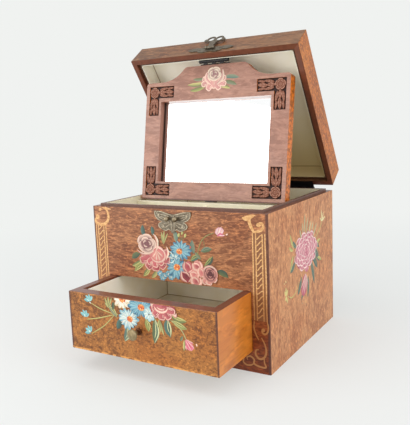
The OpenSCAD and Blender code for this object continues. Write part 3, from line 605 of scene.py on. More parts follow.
for flip_x, flip_y in ((1, 1), (-1, 1), (1, -1), (-1, -1)):
    grid = {}
    for column in range(cells):
        for row in range(cells):
            if min(column, row) * GRAIN < ARM - 0.01:
                square = [carved_point(grid, column + dx, row + dy, flip_x, flip_y)
                          for dx, dy in ((0, 0), (1, 0), (1, 1), (0, 1))]
                relief.faces.new(square if flip_x * flip_y > 0 else square[::-1])
rims = [edge for edge in relief.edges if len(edge.link_faces) == 1]
skirt = bmesh.ops.extrude_edge_only(relief, edges=rims)["geom"]
for vertex in (v for v in skirt if isinstance(v, bmesh.types.BMVert)):
    down = (vertex.co - frame_foot).dot(frame_out) - BED * 0.001
    vertex.co -= frame_out * down
bmesh.ops.holes_fill(relief, edges=[e for e in relief.edges if len(e.link_faces) == 1], sides=0)
for face in relief.faces:
    face.smooth = abs(face.normal.dot(frame_out)) > 0.3 and len(face.verts) == 4
bmesh.ops.recalc_face_normals(relief, faces=relief.faces)
carved_mesh = bpy.data.meshes.new("carved_corners")
relief.to_mesh(carved_mesh)
relief.free()
carved = Finish("carved_wood")
bite = carved.cloud((0.0016, 0.0016, 0.0016), 3.0, 0.7)
lifted = frame_low.y - carved.along("Y", turn_of("mirror")) + 0.0004 * bite
# dark in the hollows and pale on the tops: partly stain and wear, partly painted shade and highlight
stain_and_hollow_shade = carved.mixed(paint(46, 24, 18), paint(128, 78, 58), carved.ramped(lifted, -0.0013, -0.0002))
tint = carved.mixed(stain_and_hollow_shade, paint(180, 136, 116), carved.ramped(lifted, 0.0001, 0.0006))
carved_mesh.materials.append(carved.surface(
    tint, 0.44 + 0.2 * bite, {"Specular IOR Level": 0.25}, height=bite, relief=0.0001))
carved_corners = placed("carved_corners", carved_mesh, "mirror")
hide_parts("mirror_corners")


# The hinges and small iron: black painted, rubbed to grey metal along the knuckles.
iron = Finish("black_iron")
rub = iron.cloud((0.003, 0.0015, 0.0015), 3.0, 0.7)
blacking = iron.mixed(paint(30, 28, 28), paint(66, 62, 58), iron.ramped(rub, 0.58, 0.78))
black_iron = iron.surface(blacking, 0.38 + 0.2 * rub, {"Specular IOR Level": 0.6}, height=rub,
                          relief=0.00005, metallic=0.4)
coated(black_iron, "case_hinge_leaves", "rear_hinge_pins", "case_hinge_nails", "lid_hinge_leaves",
       "lid_hinge_nails", "mirror_hinge_lid_leaf", "mirror_hinge_pin", "mirror_leaf_nails",
       "mirror_hinge_frame_leaf", "frame_leaf_nails", "foot_plate", "knob_screw")


# The old brass: catch plate, studs, hasp and latch plate, brown in the hollows and rubbed bright
# on the balls.
def brass(name, bright, dull, roughness=0.38, spots=0.004):
    """Brass that is spotted with a duller patina."""
    metal = Finish(name)
    patina = metal.cloud((spots, spots, spots), 4.0, 0.7)
    colour = metal.mixed(paint(*bright), paint(*dull), metal.ramped(patina, 0.38, 0.66))
    return metal.surface(colour, roughness + 0.25 * patina, height=patina, relief=0.00015, metallic=0.85)


old_brass = brass("old_brass", (116, 108, 94), (88, 76, 62))
stud_brass = brass("stud_brass", (160, 146, 120), (112, 96, 72), 0.34, 0.003)
coated(old_brass, "catch_plate", "catch_nails", "latch_plate", "latch_pin", "latch_nails", "hasp")
coated(stud_brass, "catch_studs")


# The drawer's knob: a turned button, rubbed bright on its face and brown round its foot.
knob = Finish("knob_brass")
grime = knob.cloud((0.005, 0.005, 0.005), 2.0, 0.6)
near_board = knob.ramped(knob.along("Y"), drawer_low.y - 0.0075, drawer_low.y - 0.003)
button = knob.mixed(paint(160, 142, 110), paint(136, 120, 88), knob.ramped(grime, 0.35, 0.65))
coated(knob.surface(knob.mixed(button, paint(84, 50, 28), near_board), 0.34 + 0.2 * grime, height=grime,
                    relief=0.00008, metallic=0.8), "drawer_knob")


# The painting: acrylic flowers laid straight on the lacquer with a double-loaded brush, so that a
# stroke is pale along one edge and deep along the other, and each stroke stands a hair above the last.
hand = random.Random(11)
LAYER = 0.000012
acrylic = Finish("acrylic_paint")
tone_of = acrylic.node("Attribute", {"attribute_name": "tone"}, out="Color")
drag = acrylic.cloud((0.0009, 0.0009, 0.0009), 3.0, 0.7)
dry = acrylic.mixed(tone_of, (0.62, 0.56, 0.52, 1), acrylic.ramped(drag, 0.45, 0.75) * 0.5, "MULTIPLY")
acrylic_paint = acrylic.surface(dry, 0.46 + 0.16 * drag, {"Coat Weight": 0.12}, height=drag, relief=0.00006)


def smooth_path(points, steps):
    """Points along a smooth curve through the given ones."""
    knots = [Vector(p) for p in points]
    knots = [2 * knots[0] - knots[1]] + knots + [2 * knots[-1] - knots[-2]]
    path = []
    for before, start, end, after in zip(knots, knots[1:], knots[2:], knots[3:]):
        for step in range(steps):
            t = step / steps
            path.append(0.5 * (2 * start + (end - before) * t
                               + (2 * before - 5 * start + 4 * end - after) * t * t
                               + (3 * start - before - 3 * end + after) * t ** 3))
    return path + [Vector(points[-1])]


def bent(start, tip, shift):
    """The points of a stroke whose middle is shifted off the straight line."""
    return [start, ((start[0] + tip[0]) / 2 + shift[0], (start[1] + tip[1]) / 2 + shift[1]), tip]


def oval(angle, wide, tall):
    """Where an oval round the origin lies at an angle in radians."""
    return Vector((math.cos(angle) * wide, math.sin(angle) * tall))


class Painted:
    """One flat panel's painting. A point is millimetres along the panel's across and up."""

    def __init__(self, corner, across=(1, 0, 0), up=(0, 0, 1)):
        self.corner, self.across, self.up = Vector(corner), Vector(across), Vector(up)
        self.out = self.across.cross(self.up).normalized()
        self.form = bmesh.new()
        self.tone = self.form.verts.layers.float_color.new("tone")
        self.tops = {}

    def layer(self, spots):
        """The next free layer over the spots, which it then covers."""
        cells = {(round(p.x), round(p.y)) for p in spots}
        height = 1 + max(self.tops.get(cell, 0) for cell in cells)
        self.tops.update((cell, height) for cell in cells)
        return height * LAYER

    def vertex(self, point, height, colour):
        made = self.form.verts.new(
            self.corner + (self.across * point.x + self.up * point.y) * 0.001 + self.out * height)
        made[self.tone] = colour
        return made

    def stroke(self, points, width, left, right=None, ends=(0.1, 0.0), steps=5):
        """A ribbon through the points, with the colours of its two edges and how wide its ends are."""
        load = hand.uniform(0.84, 1.08)
        left, right = (Vector([min(1, c * load) for c in paint(*tone)]) for tone in (left, right or left))
        path = smooth_path(points, steps)
        rows, spots = [], []
        for index, point in enumerate(path):
            t = index / (len(path) - 1)
            way = (path[min(index + 1, len(path) - 1)] - path[max(index - 1, 0)]).normalized()
            side = Vector((-way.y, way.x))
            swell = min(1, t / 0.4), min(1, (1 - t) / 0.4)
            half = width / 2
            for end, rise in zip(ends, swell):
                half *= end + (1 - end) * math.sin(rise * math.pi / 2)
            half = max(half, 0.04)
            rows.append([(point + side * half * k, k) for k in (1, 0.45, -0.45, -1)])
            spots += [place for place, _ in rows[-1]]
        height = self.layer(spots)
        made = [[self.vertex(place, height + LAYER * 2 * (1 - k * k), left.lerp(right, (1 - k) / 2))
                 for place, k in row] for row in rows]
        for row, following in zip(made, made[1:]):
            for a, b, c, d in zip(row, row[1:], following[1:], following):
                self.form.faces.new((a, b, c, d))

    def patch(self, centre, wide, tall, middle, rim, turn=0.0, wobble=0.08, corners=14):
        """A rounded blot, its middle in one colour and its rim in another."""
        centre, middle, rim = Vector(centre), Vector(paint(*middle)), Vector(paint(*rim))
        ring = []
        for k in range(corners):
            angle, reach = 2 * math.pi * k / corners, 1 + hand.uniform(-wobble, wobble)
            ring.append(centre + Matrix.Rotation(math.radians(turn), 2) @ (oval(angle, wide, tall) * reach))
        filling = [centre.lerp(p, share) for p in ring for share in (0.3, 0.6, 0.9)]
        height = self.layer([centre, *ring, *filling])
        outer = [self.vertex(p, height, rim) for p in ring]
        inner = [self.vertex(centre.lerp(p, 0.5), height + LAYER, middle.lerp(rim, 0.4)) for p in ring]
        hub = self.vertex(centre, height + LAYER, middle)
        for k in range(corners):
            following = (k + 1) % corners
            self.form.faces.new((outer[k], outer[following], inner[following], inner[k]))
            self.form.faces.new((inner[k], inner[following], hub))

    def dots(self, centre, spread, count, size, colours):
        """Small dabs scattered round a place."""
        for _ in range(count):
            angle, reach = hand.uniform(0, 2 * math.pi), spread * math.sqrt(hand.random())
            tone = hand.choice(colours)
            self.patch(Vector(centre) + oval(angle, reach, reach), size, size, tone, tone, corners=6)

    def leaf(self, base, tip, width, dark, light, bend=0.0, edge=None):
        """A pointed leaf that bends to its left, with a light rim and midrib if an edge tone is given."""
        base, tip = Vector(base), Vector(tip)
        side = Vector((base.y - tip.y, tip.x - base.x)).normalized()
        middle = (base + tip) / 2 + side * bend
        self.stroke([base, middle, tip], width, dark, light)
        if edge:
            self.stroke([base, middle + side * width * 0.4, tip], width * 0.2, edge)
            self.stroke([base, middle, base.lerp(tip, 0.8)], width * 0.12, edge)

    def leaves(self, *leaves):
        for leaf in leaves:
            self.leaf(*leaf)

    def daisy(self, centre, wide, tall, petals, deep, mid, pale, start=0.0):
        """Two rounds of tapering petals, the upper one paler, with a pale line between each two."""
        centre = Vector(centre)
        for colours, share, reach in (((deep, mid), 0.8, 1.0), ((mid, pale), 0.42, 0.92)):
            for k in range(petals):
                angle = start + 2 * math.pi * (k + hand.uniform(-0.15, 0.15)) / petals
                way = oval(angle, wide, tall) * reach * hand.uniform(0.86, 1.06)
                self.stroke([centre + way * 0.15, centre + way * 0.6, centre + way],
                            2 * math.pi * way.length / petals * share, *colours, ends=(0.3, 0.35), steps=3)
        for k in range(petals):
            angle = start + 2 * math.pi * (k + 0.5) / petals
            way = oval(angle, wide, tall) * hand.uniform(0.7, 1.0)
            self.stroke([centre + way * 0.35, centre + way * 0.7, centre + way], 0.7, pale, steps=2)

    def heart(self, centre, size):
        """A daisy's orange middle."""
        self.patch(centre, size, size * 0.85, (206, 84, 40), (232, 146, 70))
        self.dots(centre, size * 0.8, 7, size * 0.2, [(240, 178, 92), (186, 50, 34), (250, 206, 140)])

    def petal(self, centre, reach, start, end, width, left, right):
        """A petal's rolled edge: an arc about the centre, between two angles in degrees."""
        turns = (math.radians(start + (end - start) * k / 4) for k in range(5))
        arc = [Vector(centre) + oval(turn, *reach) for turn in turns]
        self.stroke(arc, width, left, right, ends=(0.15, 0.15), steps=3)

    def coil(self, centre, wide, tall, deep, mid, pale, start=0.0):
        """A rose's rolled heart: rings of petals that tighten round each other, pale on their rims."""
        centre = Vector(centre)
        self.patch(centre, wide, tall, deep, mid, 0, 0.06, 16)
        for ring, (share, petals, brush) in enumerate(((0.84, 5, 0.44), (0.56, 4, 0.34), (0.28, 3, 0.2))):
            for k in range(petals):
                turn = start + ring * 47 + 360 * k / petals + hand.uniform(-16, 16)
                slip = oval(math.radians(turn), wide, tall) * hand.uniform(0.02, 0.16)
                self.petal(centre + slip, (wide * share, tall * share), turn - 52, turn + 52, wide * brush,
                           deep, pale)
        self.patch(centre, wide * 0.1, tall * 0.1, deep, mid, corners=8)

    def rosebud(self, centre, size, turn, deep, mid, pale):
        """A half open bud: a deep heart held by two outer petals, with a folded one across it."""
        centre, spin = Vector(centre), Matrix.Rotation(math.radians(turn), 2)

        def at(x, y):
            return centre + spin @ Vector((x * size, y * size))

        self.patch(centre, size * 0.85, size, deep, mid, turn, 0.1, 12)
        self.stroke([at(-0.1, -1), at(-0.95, -0.3), at(-0.75, 0.9)], size * 0.42, mid, pale)
        self.stroke([at(0.1, -1), at(0.95, -0.3), at(0.8, 0.8)], size * 0.42, pale, mid)
        self.stroke([at(-0.7, 0.6), at(0.1, 0.35), at(0.5, -0.3)], size * 0.3, pale, mid)

    def full_petal(self, heart, tip, width, deep, mid, pale):
        """One broad petal from a flower's heart, with a rolled pale edge and streaks towards it."""
        heart, tip = Vector(heart), Vector(tip)
        way = tip - heart
        side = Vector((-way.y, way.x)).normalized() * width / 2
        self.stroke([heart, heart + way * 0.6, tip], width, deep, mid, ends=(0.35, 0.6), steps=4)
        for shift in (-0.55, -0.15, 0.3, 0.6):
            self.stroke([heart + way * 0.35 + side * shift, heart + way * 0.65 + side * shift * 1.1,
                         heart + way * 0.95 + side * shift], 0.7, mid if shift < 0 else pale, steps=2)
        self.stroke([heart + way * 0.55 - side * 1.02, tip - side * 0.75, tip + way * 0.06, tip + side * 0.75,
                     heart + way * 0.55 + side * 1.02], 1.4, pale, mid, ends=(0.2, 0.2), steps=3)

    def petals(self, heart, tips, deep, mid, pale):
        """Broad petals round a heart; tips pairs each petal's end with its width."""
        for tip, width in tips:
            self.full_petal(heart, tip, width, deep, mid, pale)

    def finished(self, name, body, cuts=(), coat=acrylic_paint):
        """The painting as a piece. A cut is a point and the direction that is cut away beyond it."""
        for point, away in cuts:
            everything = [*self.form.verts, *self.form.edges, *self.form.faces]
            bmesh.ops.bisect_plane(self.form, geom=everything, plane_co=point, plane_no=away,
                                   clear_outer=True)
        mesh = bpy.data.meshes.new(name)
        self.form.normal_update()
        self.form.to_mesh(mesh)
        self.form.free()
        mesh.materials.append(coat)
        placed(name, mesh, body)


# The colours on the palette, deep, middle and pale of each.
ROSE, ROSE_MID, ROSE_PALE, ROSE_EDGE = (158, 56, 68), (196, 104, 104), (222, 154, 140), (240, 208, 186)
WINE, MAUVE, CREAM = (104, 36, 44), (146, 92, 90), (242, 222, 196)
BLUE, SKY, ICE, WHITE = (52, 94, 126), (82, 142, 166), (150, 192, 198), (232, 232, 218)
PINE, MOSS, LIME, STRAW = (46, 68, 58), (96, 106, 62), (160, 162, 88), (206, 196, 122)
TEAL, SAGE = (78, 112, 100), (134, 140, 112)


# The front bouquet: two roses and a rosebud cluster with blue daisies between, under the catch. It
# runs on over the drawer, so its lower petals stop at the opening's edge.
case_front, case_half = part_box("front_board")[0].y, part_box("right_side")[1].x
opening_top = 0.0938
front = Painted((0, case_front, 0))
front.leaves(((-42, 146), (-44, 160), 6, TEAL, PINE, 1), ((-30, 148), (-31, 159), 5, TEAL, PINE, -1),
             ((-50, 124), (-63, 117), 7, PINE, MOSS, -1),
             ((-48, 116), (-63, 108), 6, LIME, MOSS, 1.5, STRAW),
             ((-44, 112), (-60, 101), 6, MOSS, LIME, -1.5, STRAW),
             ((-36, 110), (-47, 96), 6, LIME, MOSS, 1, STRAW), ((-26, 106), (-35, 95), 5, STRAW, MOSS, 1))
for tip in ((-17, 153), (-13, 155), (-8, 152)):
    front.leaf((-15, 138), tip, 2.4, MOSS, STRAW, 0.6)
front.leaf((3, 142), (1, 156), 6, SAGE, TEAL, -0.8)
for bud in ((7, 150), (12, 153), (16, 150)):
    front.stroke([(10, 143), (bud[0] * 0.5 + 5, 147), bud], 0.8, MOSS)
    front.leaf((bud[0] - 1, bud[1] - 2), (bud[0] + 1, bud[1] + 3), 3, STRAW, LIME)
front.leaves(((27, 130), (25, 146), 6, TEAL, SAGE, 1), ((36, 133), (51, 137), 6, TEAL, MOSS, 1, SAGE),
             ((22, 121), (35, 128), 6, MOSS, TEAL, 1, LIME),
             ((40, 116), (52, 129), 6, MOSS, PINE, -1, LIME), ((56, 112), (71, 106), 7, PINE, MOSS, 1.5),
             ((36, 124), (28, 132), 4, SAGE, MOSS))
front.stroke([(31, 128), (36, 143), (43, 151), (54, 156)], 1.1, LIME, MOSS, (0.7, 0.5))
front.stroke([(40, 148), (41, 141), (40, 137)], 0.8, MOSS)
front.patch((61, 158), 5.5, 4.5, ROSE_EDGE, (214, 160, 170), 20)
for start, tip in (((57, 154), (60, 163)), ((59, 153), (64, 164)), ((61, 153), (67, 160)),
                   ((60, 153), (68, 154))):
    front.stroke(bent(start, tip, (1, 0)), 1.6, WHITE, (206, 84, 124))
front.stroke([(58, 152), (62, 155), (66, 154)], 2.2, (196, 60, 104), (226, 140, 160))
front.dots((70, 155), 1.2, 2, 0.9, [ROSE_EDGE])
front.dots((22, 137), 0.6, 2, 1.0, [(206, 70, 60)])
front.dots((28, 118), 1.5, 4, 0.7, [WHITE, ICE])

# small blue florets under the big rose, and the two daisies
for spot in ((-22, 102), (-15, 100), (-10, 103), (-18, 97), (-6, 99)):
    front.daisy(spot, 4.5, 4, 6, BLUE, SKY, ICE)
    front.dots(spot, 0.8, 2, 0.7, [CREAM])
front.daisy((9, 133), 14.5, 12, 13, BLUE, SKY, ICE)
front.daisy((0, 121), 8, 8, 7, SKY, ICE, WHITE, 0.4)
front.daisy((2, 111), 14, 14, 12, BLUE, SKY, ICE, 0.2)
front.heart((7, 131), 4.2)
front.heart((3, 112), 4.6)
for tip in ((-9, 130), (-10, 124), (-7, 118)):
    front.stroke([(1, 122), (tip[0] / 2, tip[1] - 1), tip], 1.4, WHITE, ICE)

# the big rose and the coiled one above it
front.patch((-29, 121), 19, 12, ROSE_MID, ROSE, 0, 0.1, 20)
front.petals((-27, 121), (((-46, 124), 11), ((-49, 116), 10), ((-40, 108), 11), ((-28, 105.5), 12),
                          ((-15, 110), 11), ((-8, 119), 10), ((-9, 129), 9)), ROSE, ROSE_MID, ROSE_EDGE)
front.petals((-26, 122), (((-38, 114), 8), ((-28, 110), 9), ((-17, 114), 8)),
                         (182, 70, 84), ROSE_MID, CREAM)
front.patch((-24, 124), 11, 9.5, ROSE_PALE, ROSE_MID, 0, 0.08, 16)
for start, end, reach, width in ((200, 345, (10.5, 9), 2.0), (20, 130, (11, 10), 3.0),
                                 (-60, 60, (11.5, 10), 2.2), (120, 190, (11, 10), 2.0),
                                 (225, 300, (6.5, 4.5), 1.4)):
    front.petal((-24, 124.5), reach, start, end, width, CREAM, (214, 128, 128))
for index, tip in enumerate(((-31.5, 121), (-29, 118), (-26, 116.5), (-23, 116), (-20, 117), (-17, 119.5),
                             (-16, 123))):
    middle = ((tip[0] - 24) / 2 * 1.02, (tip[1] + 129) / 2)
    front.stroke([(-24, 129), middle, tip], 1.8, ROSE_MID if index % 2 else CREAM, ROSE_PALE, steps=3)
front.stroke([(-10, 136), (-8.5, 128), (-12, 119)], 2.8, CREAM, ROSE_PALE)
front.coil((-39, 137), 12.5, 10, (112, 66, 70), MAUVE, ROSE_EDGE, 150)
front.stroke([(-54, 129), (-46, 124.5), (-36, 125), (-28, 129)], 2.6, CREAM, ROSE_MID)
front.stroke([(-51, 138), (-49, 145), (-42, 148)], 1.8, CREAM, ROSE_PALE)
front.stroke([(-27, 127), (-23, 136), (-25, 146), (-29, 150)], 2.8, ROSE_PALE, CREAM)
front.stroke([(-24, 147), (-22, 141), (-24, 134)], 1.4, CREAM)

# the buds and the wine red rose at the right
for centre, size, turn, deep, mid in (
        ((16, 103), 8, 10, WINE, ROSE), ((19, 114), 7, -10, ROSE, ROSE_MID),
        ((31, 116), 6.5, 20, ROSE, ROSE_PALE), ((27, 106), 6, 30, ROSE_MID, ROSE_PALE),
        ((37, 109), 6, -20, ROSE_MID, ROSE_PALE), ((29, 98), 7, 0, ROSE, ROSE_PALE)):
    front.rosebud(centre, size, turn, deep, mid, ROSE_EDGE)
front.petals((47, 107), (((39, 97), 8), ((46, 96), 8), ((55, 101), 7), ((40, 104), 6)),
                        ROSE_MID, ROSE_PALE, CREAM)
front.coil((48, 108), 9, 8.8, (78, 30, 36), (124, 62, 62), ROSE_PALE, 60)
front.petal((48, 108), (9.6, 9.4), 20, 165, 2.0, CREAM, ROSE_PALE)
front.finished("front_bouquet", "case", [((0, 0, opening_top), (0, 0, -1))])


# The drawer's part of the bouquet, with sprigs of small blue flowers on long stems at its left.
drawer = Painted((0, drawer_low.y, 0))
for flower, bend in (((-68, 84), (-52, 77)), ((-76, 64), (-55, 66)), ((-70, 48), (-48, 58))):
    drawer.stroke([(flower[0] + 3, flower[1] - 2), bend, (-32, 73)], 1.1, STRAW, LIME, (0.6, 0.5))
drawer.stroke([(-34, 73), (-27, 74)], 1.6, STRAW, LIME)
for flower, lean in (((-68, 84), 110), ((-76, 65), 90), ((-70, 47), 130)):
    for turn in (-60, -20, 20, 60):
        angle = math.radians(lean + turn)
        tip = (flower[0] + 7 * math.cos(angle), flower[1] + 8 * math.sin(angle))
        drawer.stroke(bent(flower, tip, (0.5, 0)), 3.6, (88, 160, 168), (160, 210, 206), (0.3, 0.3))
    drawer.dots(flower, 2.5, 4, 0.7, [WHITE, (60, 120, 130)])
for tip in ((-45, 91), (-40, 93), (-35, 92), (-36, 84), (-45, 85)):
    drawer.leaf((-41, 80), tip, 2.6, MOSS, STRAW)
drawer.leaves(((-40, 82), (-29, 70), 6, MOSS, SAGE, 1, STRAW), ((-34, 78), (-33, 88), 4, PINE, MOSS),
              ((-25, 69), (-30, 57), 7, PINE, TEAL, 1),
              ((-16, 62), (-20, 44), 8, SAGE, TEAL, 2, (196, 196, 150)),
              ((10, 74), (13, 60), 7, MOSS, LIME, 1, STRAW),
              ((22, 76), (20, 48), 9, TEAL, MOSS, 1.5, (206, 204, 150)),
              ((38, 78), (41, 58), 9, PINE, TEAL, -1.5, (206, 204, 150)),
              ((42, 82), (62, 78), 6, LIME, MOSS, -1.5, STRAW),
              ((44, 77), (62, 70), 6, MOSS, LIME, -1, STRAW))
for tip in ((33, 58), (29, 61), (25, 66)):
    drawer.leaf((28, 76), tip, 2.6, MOSS, STRAW)
drawer.stroke([(42, 77), (54, 69), (59, 61), (60, 58)], 1.2, SAGE, STRAW, (0.7, 0.5))
drawer.leaf((56, 62), (53, 56), 3, SAGE, MOSS)
drawer.patch((63, 53), 6.5, 4.6, (206, 70, 110), (222, 130, 140), -35)
for start, tip in (((57, 57), (60, 47)), ((59, 58), (66, 47)), ((60, 59), (70, 50)), ((60, 59), (69, 56))):
    drawer.stroke(bent(start, tip, (0, -0.5)), 1.7, ROSE_EDGE, (206, 74, 116))
drawer.leaf((58, 58), (57, 46), 3, MOSS, STRAW)
drawer.dots((72, 55), 1.5, 2, 0.8, [ROSE_EDGE])
drawer.daisy((-21, 91), 12, 11, 10, (196, 170, 110), CREAM, WHITE)
drawer.heart((-20, 92), 4.6)
drawer.daisy((4, 86), 17, 11, 14, BLUE, SKY, ICE)
drawer.daisy((15, 80), 8, 8, 8, (170, 208, 206), ICE, WHITE)
drawer.heart((5, 86), 4.4)
drawer.daisy((-13, 71), 14, 12, 13, SKY, ICE, WHITE)
drawer.heart((-11, 71), 4.0)
drawer.patch((32, 88), 16, 9, ROSE_MID, ROSE, 0, 0.1, 20)
drawer.petals((32, 90), (((20, 88), 9), ((22, 80), 9), ((31, 77), 10), ((41, 79), 9), ((47, 86), 8)),
                        ROSE, ROSE_MID, ROSE_EDGE)
for start, end, reach, width in ((190, 350, (9, 7), 2.2), (200, 330, (5.5, 4), 1.6),
                                 (120, 200, (12, 8), 3.0)):
    drawer.petal((31, 91), reach, start, end, width, CREAM, ROSE_PALE)
drawer.dots((33, 83), 6, 6, 0.6, [(150, 40, 56), (240, 180, 160)])
drawer.stroke([(45, 84), (49, 82), (50, 86)], 2.4, CREAM, ROSE_MID)
drawer.finished("drawer_bouquet", "drawer", [((0, 0, drawer_high.z - 0.0008), (0, 0, 1))])


# The side bouquets: one full rose with a bud hanging below it and sprays of thin leaves. The left
# side isn't seen, and is taken to match the right one.
for name, way in (("right_bouquet", 1), ("left_bouquet", -1)):
    side = Painted((way * case_half, 0, 0), (0, way, 0))
    for base, tip, width in (((28, 118), (52, 93), 9), ((24, 108), (44, 86), 9), ((20, 102), (32, 68), 8),
                             ((30, 124), (52, 112), 7), ((-28, 128), (-38, 137), 6),
                             ((-32, 112), (-48, 101), 6), ((-12, 88), (-26, 68), 7),
                             ((-6, 80), (-14, 58), 6), ((10, 84), (8, 56), 6)):
        side.leaf(base, tip, width, PINE, TEAL, 1.5, SAGE)
    for base, tip in (((0, 138), (2, 165)), ((-4, 138), (-7, 154)), ((14, 136), (23, 152)),
                      ((24, 134), (30, 150)), ((30, 130), (44, 146)), ((6, 138), (12, 158)),
                      ((-10, 134), (-16, 148))):
        side.leaf(base, tip, 3.2, SAGE, (222, 214, 160), 0.8)
    side.stroke([(30, 126), (42, 129), (60, 140), (66, 146)], 1.2, STRAW, LIME, (0.6, 0.4))
    for tip in ((62, 160), (70, 156), (76, 149), (56, 150)):
        side.leaf((64, 144), tip, 2.4, STRAW, (240, 232, 190), 0.6)
    for base, tip in (((-36, 128), (-47, 147)), ((-38, 126), (-50, 132)), ((-40, 116), (-49, 102)),
                      ((-38, 120), (-46, 112)), ((44, 100), (60, 93)), ((40, 118), (56, 122))):
        side.leaf(base, tip, 4, STRAW, LIME, 1)
    side.stroke([(-56, 76), (-45, 71), (-32, 74), (-21, 84)], 1.3, STRAW, LIME, (0.5, 0.5))
    for tip in ((-66, 84), (-62, 88), (-56, 84), (-64, 72), (-58, 68)):
        side.leaf((-61, 77), tip, 3.4, (240, 222, 140), STRAW)
    side.dots((-64, 95), 3, 4, 0.9, [(240, 222, 150)])
    side.dots((-2, 60), 14, 6, 0.8, [SAGE, STRAW])
    side.patch((4, 117), 34, 21, (186, 84, 104), (170, 70, 92), 0, 0.1, 24)
    # forty-four petals spiral inwards, each turned by about a golden angle from the last
    petals = 44
    for k in range(petals):
        share = 1 - k / petals
        angle = 2.4 * k
        middle = Vector((4, 117)) + oval(angle, 36 * 0.86, 23 * 0.86) * share ** 0.6
        size, turn = 5.2 + 4 * share, math.degrees(angle) + hand.uniform(-25, 25)
        side.patch(middle, size * 0.95, size * 0.62, (226, 160, 166), (184, 88, 112), turn, 0.15, 10)
        side.petal(middle, (size, size * 0.7), turn - 75, turn + 75, 1.9, (244, 222, 212), (236, 190, 190))
    side.patch((-3, 75), 14, 10, (206, 110, 128), (180, 80, 100), 65)
    for tip in ((-12, 66), (-5, 63), (3, 66), (9, 72), (-15, 74), (0, 70)):
        side.stroke(bent((1, 89), tip, (1, 0)), 3, CREAM, (204, 96, 122))
    side.finished(name, "case")


# The rose over the glass, grey pink with a coiled heart between two pairs of leaves. It follows
# the frame's lean.
mirror = Painted(frame_foot, (1, 0, 0), frame_up)
mirror.leaves(((-12, 152), (-40, 151), 5, MOSS, STRAW, 1), ((-12, 148), (-36, 143), 5, LIME, MOSS, 1),
              ((-14, 158), (-32, 158), 4, SAGE, MOSS, 1), ((14, 158), (36, 156), 5, SAGE, TEAL, 1),
              ((14, 152), (33, 147), 5, MOSS, SAGE, 1), ((10, 146), (24, 143), 4, MOSS, STRAW, 1))
mirror.patch((0, 153), 13, 6, ROSE_MID, ROSE, 0, 0.1, 18)
mirror.petals((0, 155), (((-16, 157), 8), ((-17, 150), 8), ((-9, 143.5), 9), ((1, 145), 8),
                         ((8, 143.5), 8), ((16, 149), 8), ((16, 157), 7)),
                        (190, 116, 118), (212, 158, 148), CREAM)
mirror.coil((0, 162.5), 9.5, 7.6, (138, 100, 98), (176, 126, 122), CREAM, 200)
mirror.stroke([(-4, 149), (-12, 157), (-10.5, 166)], 4.2, ROSE_EDGE, (188, 120, 122), (0.3, 0.2))
mirror.stroke([(4, 149), (12, 157), (12, 168)], 4.2, (188, 120, 122), CREAM, (0.3, 0.2))
for start, end in (((-10, 158), (-4, 152)), ((10, 158), (4, 152)), ((0, 154), (0, 148))):
    mirror.stroke([start, end], 1.6, CREAM, ROSE_PALE, steps=3)
mirror.finished("mirror_rose", "mirror")


# The gold bands on the stiles, painted freehand in ochre gold: a rope of slanting strokes between
# two pairs of lines, a scroll and a curl above it, and open loops below that turn under the drawer.
gold = Finish("gold_paint")
gilt = gold.cloud((0.004, 0.004, 0.002), 3.0, 0.6)
gilding = gold.mixed(paint(196, 142, 84), paint(224, 176, 116), gold.ramped(gilt, 0.4, 0.62))
# painted shade: the gold darkens towards the floor
gold_shaded_low = gold.mixed(paint(172, 114, 60), gilding, gold.ramped(gold.along("Z"), 0.03, 0.12))
gold_paint = gold.surface(gold_shaded_low, 0.42 + 0.2 * gilt, {"Coat Weight": 0.1}, height=gilt, relief=0.00005,
                          metallic=0.1)


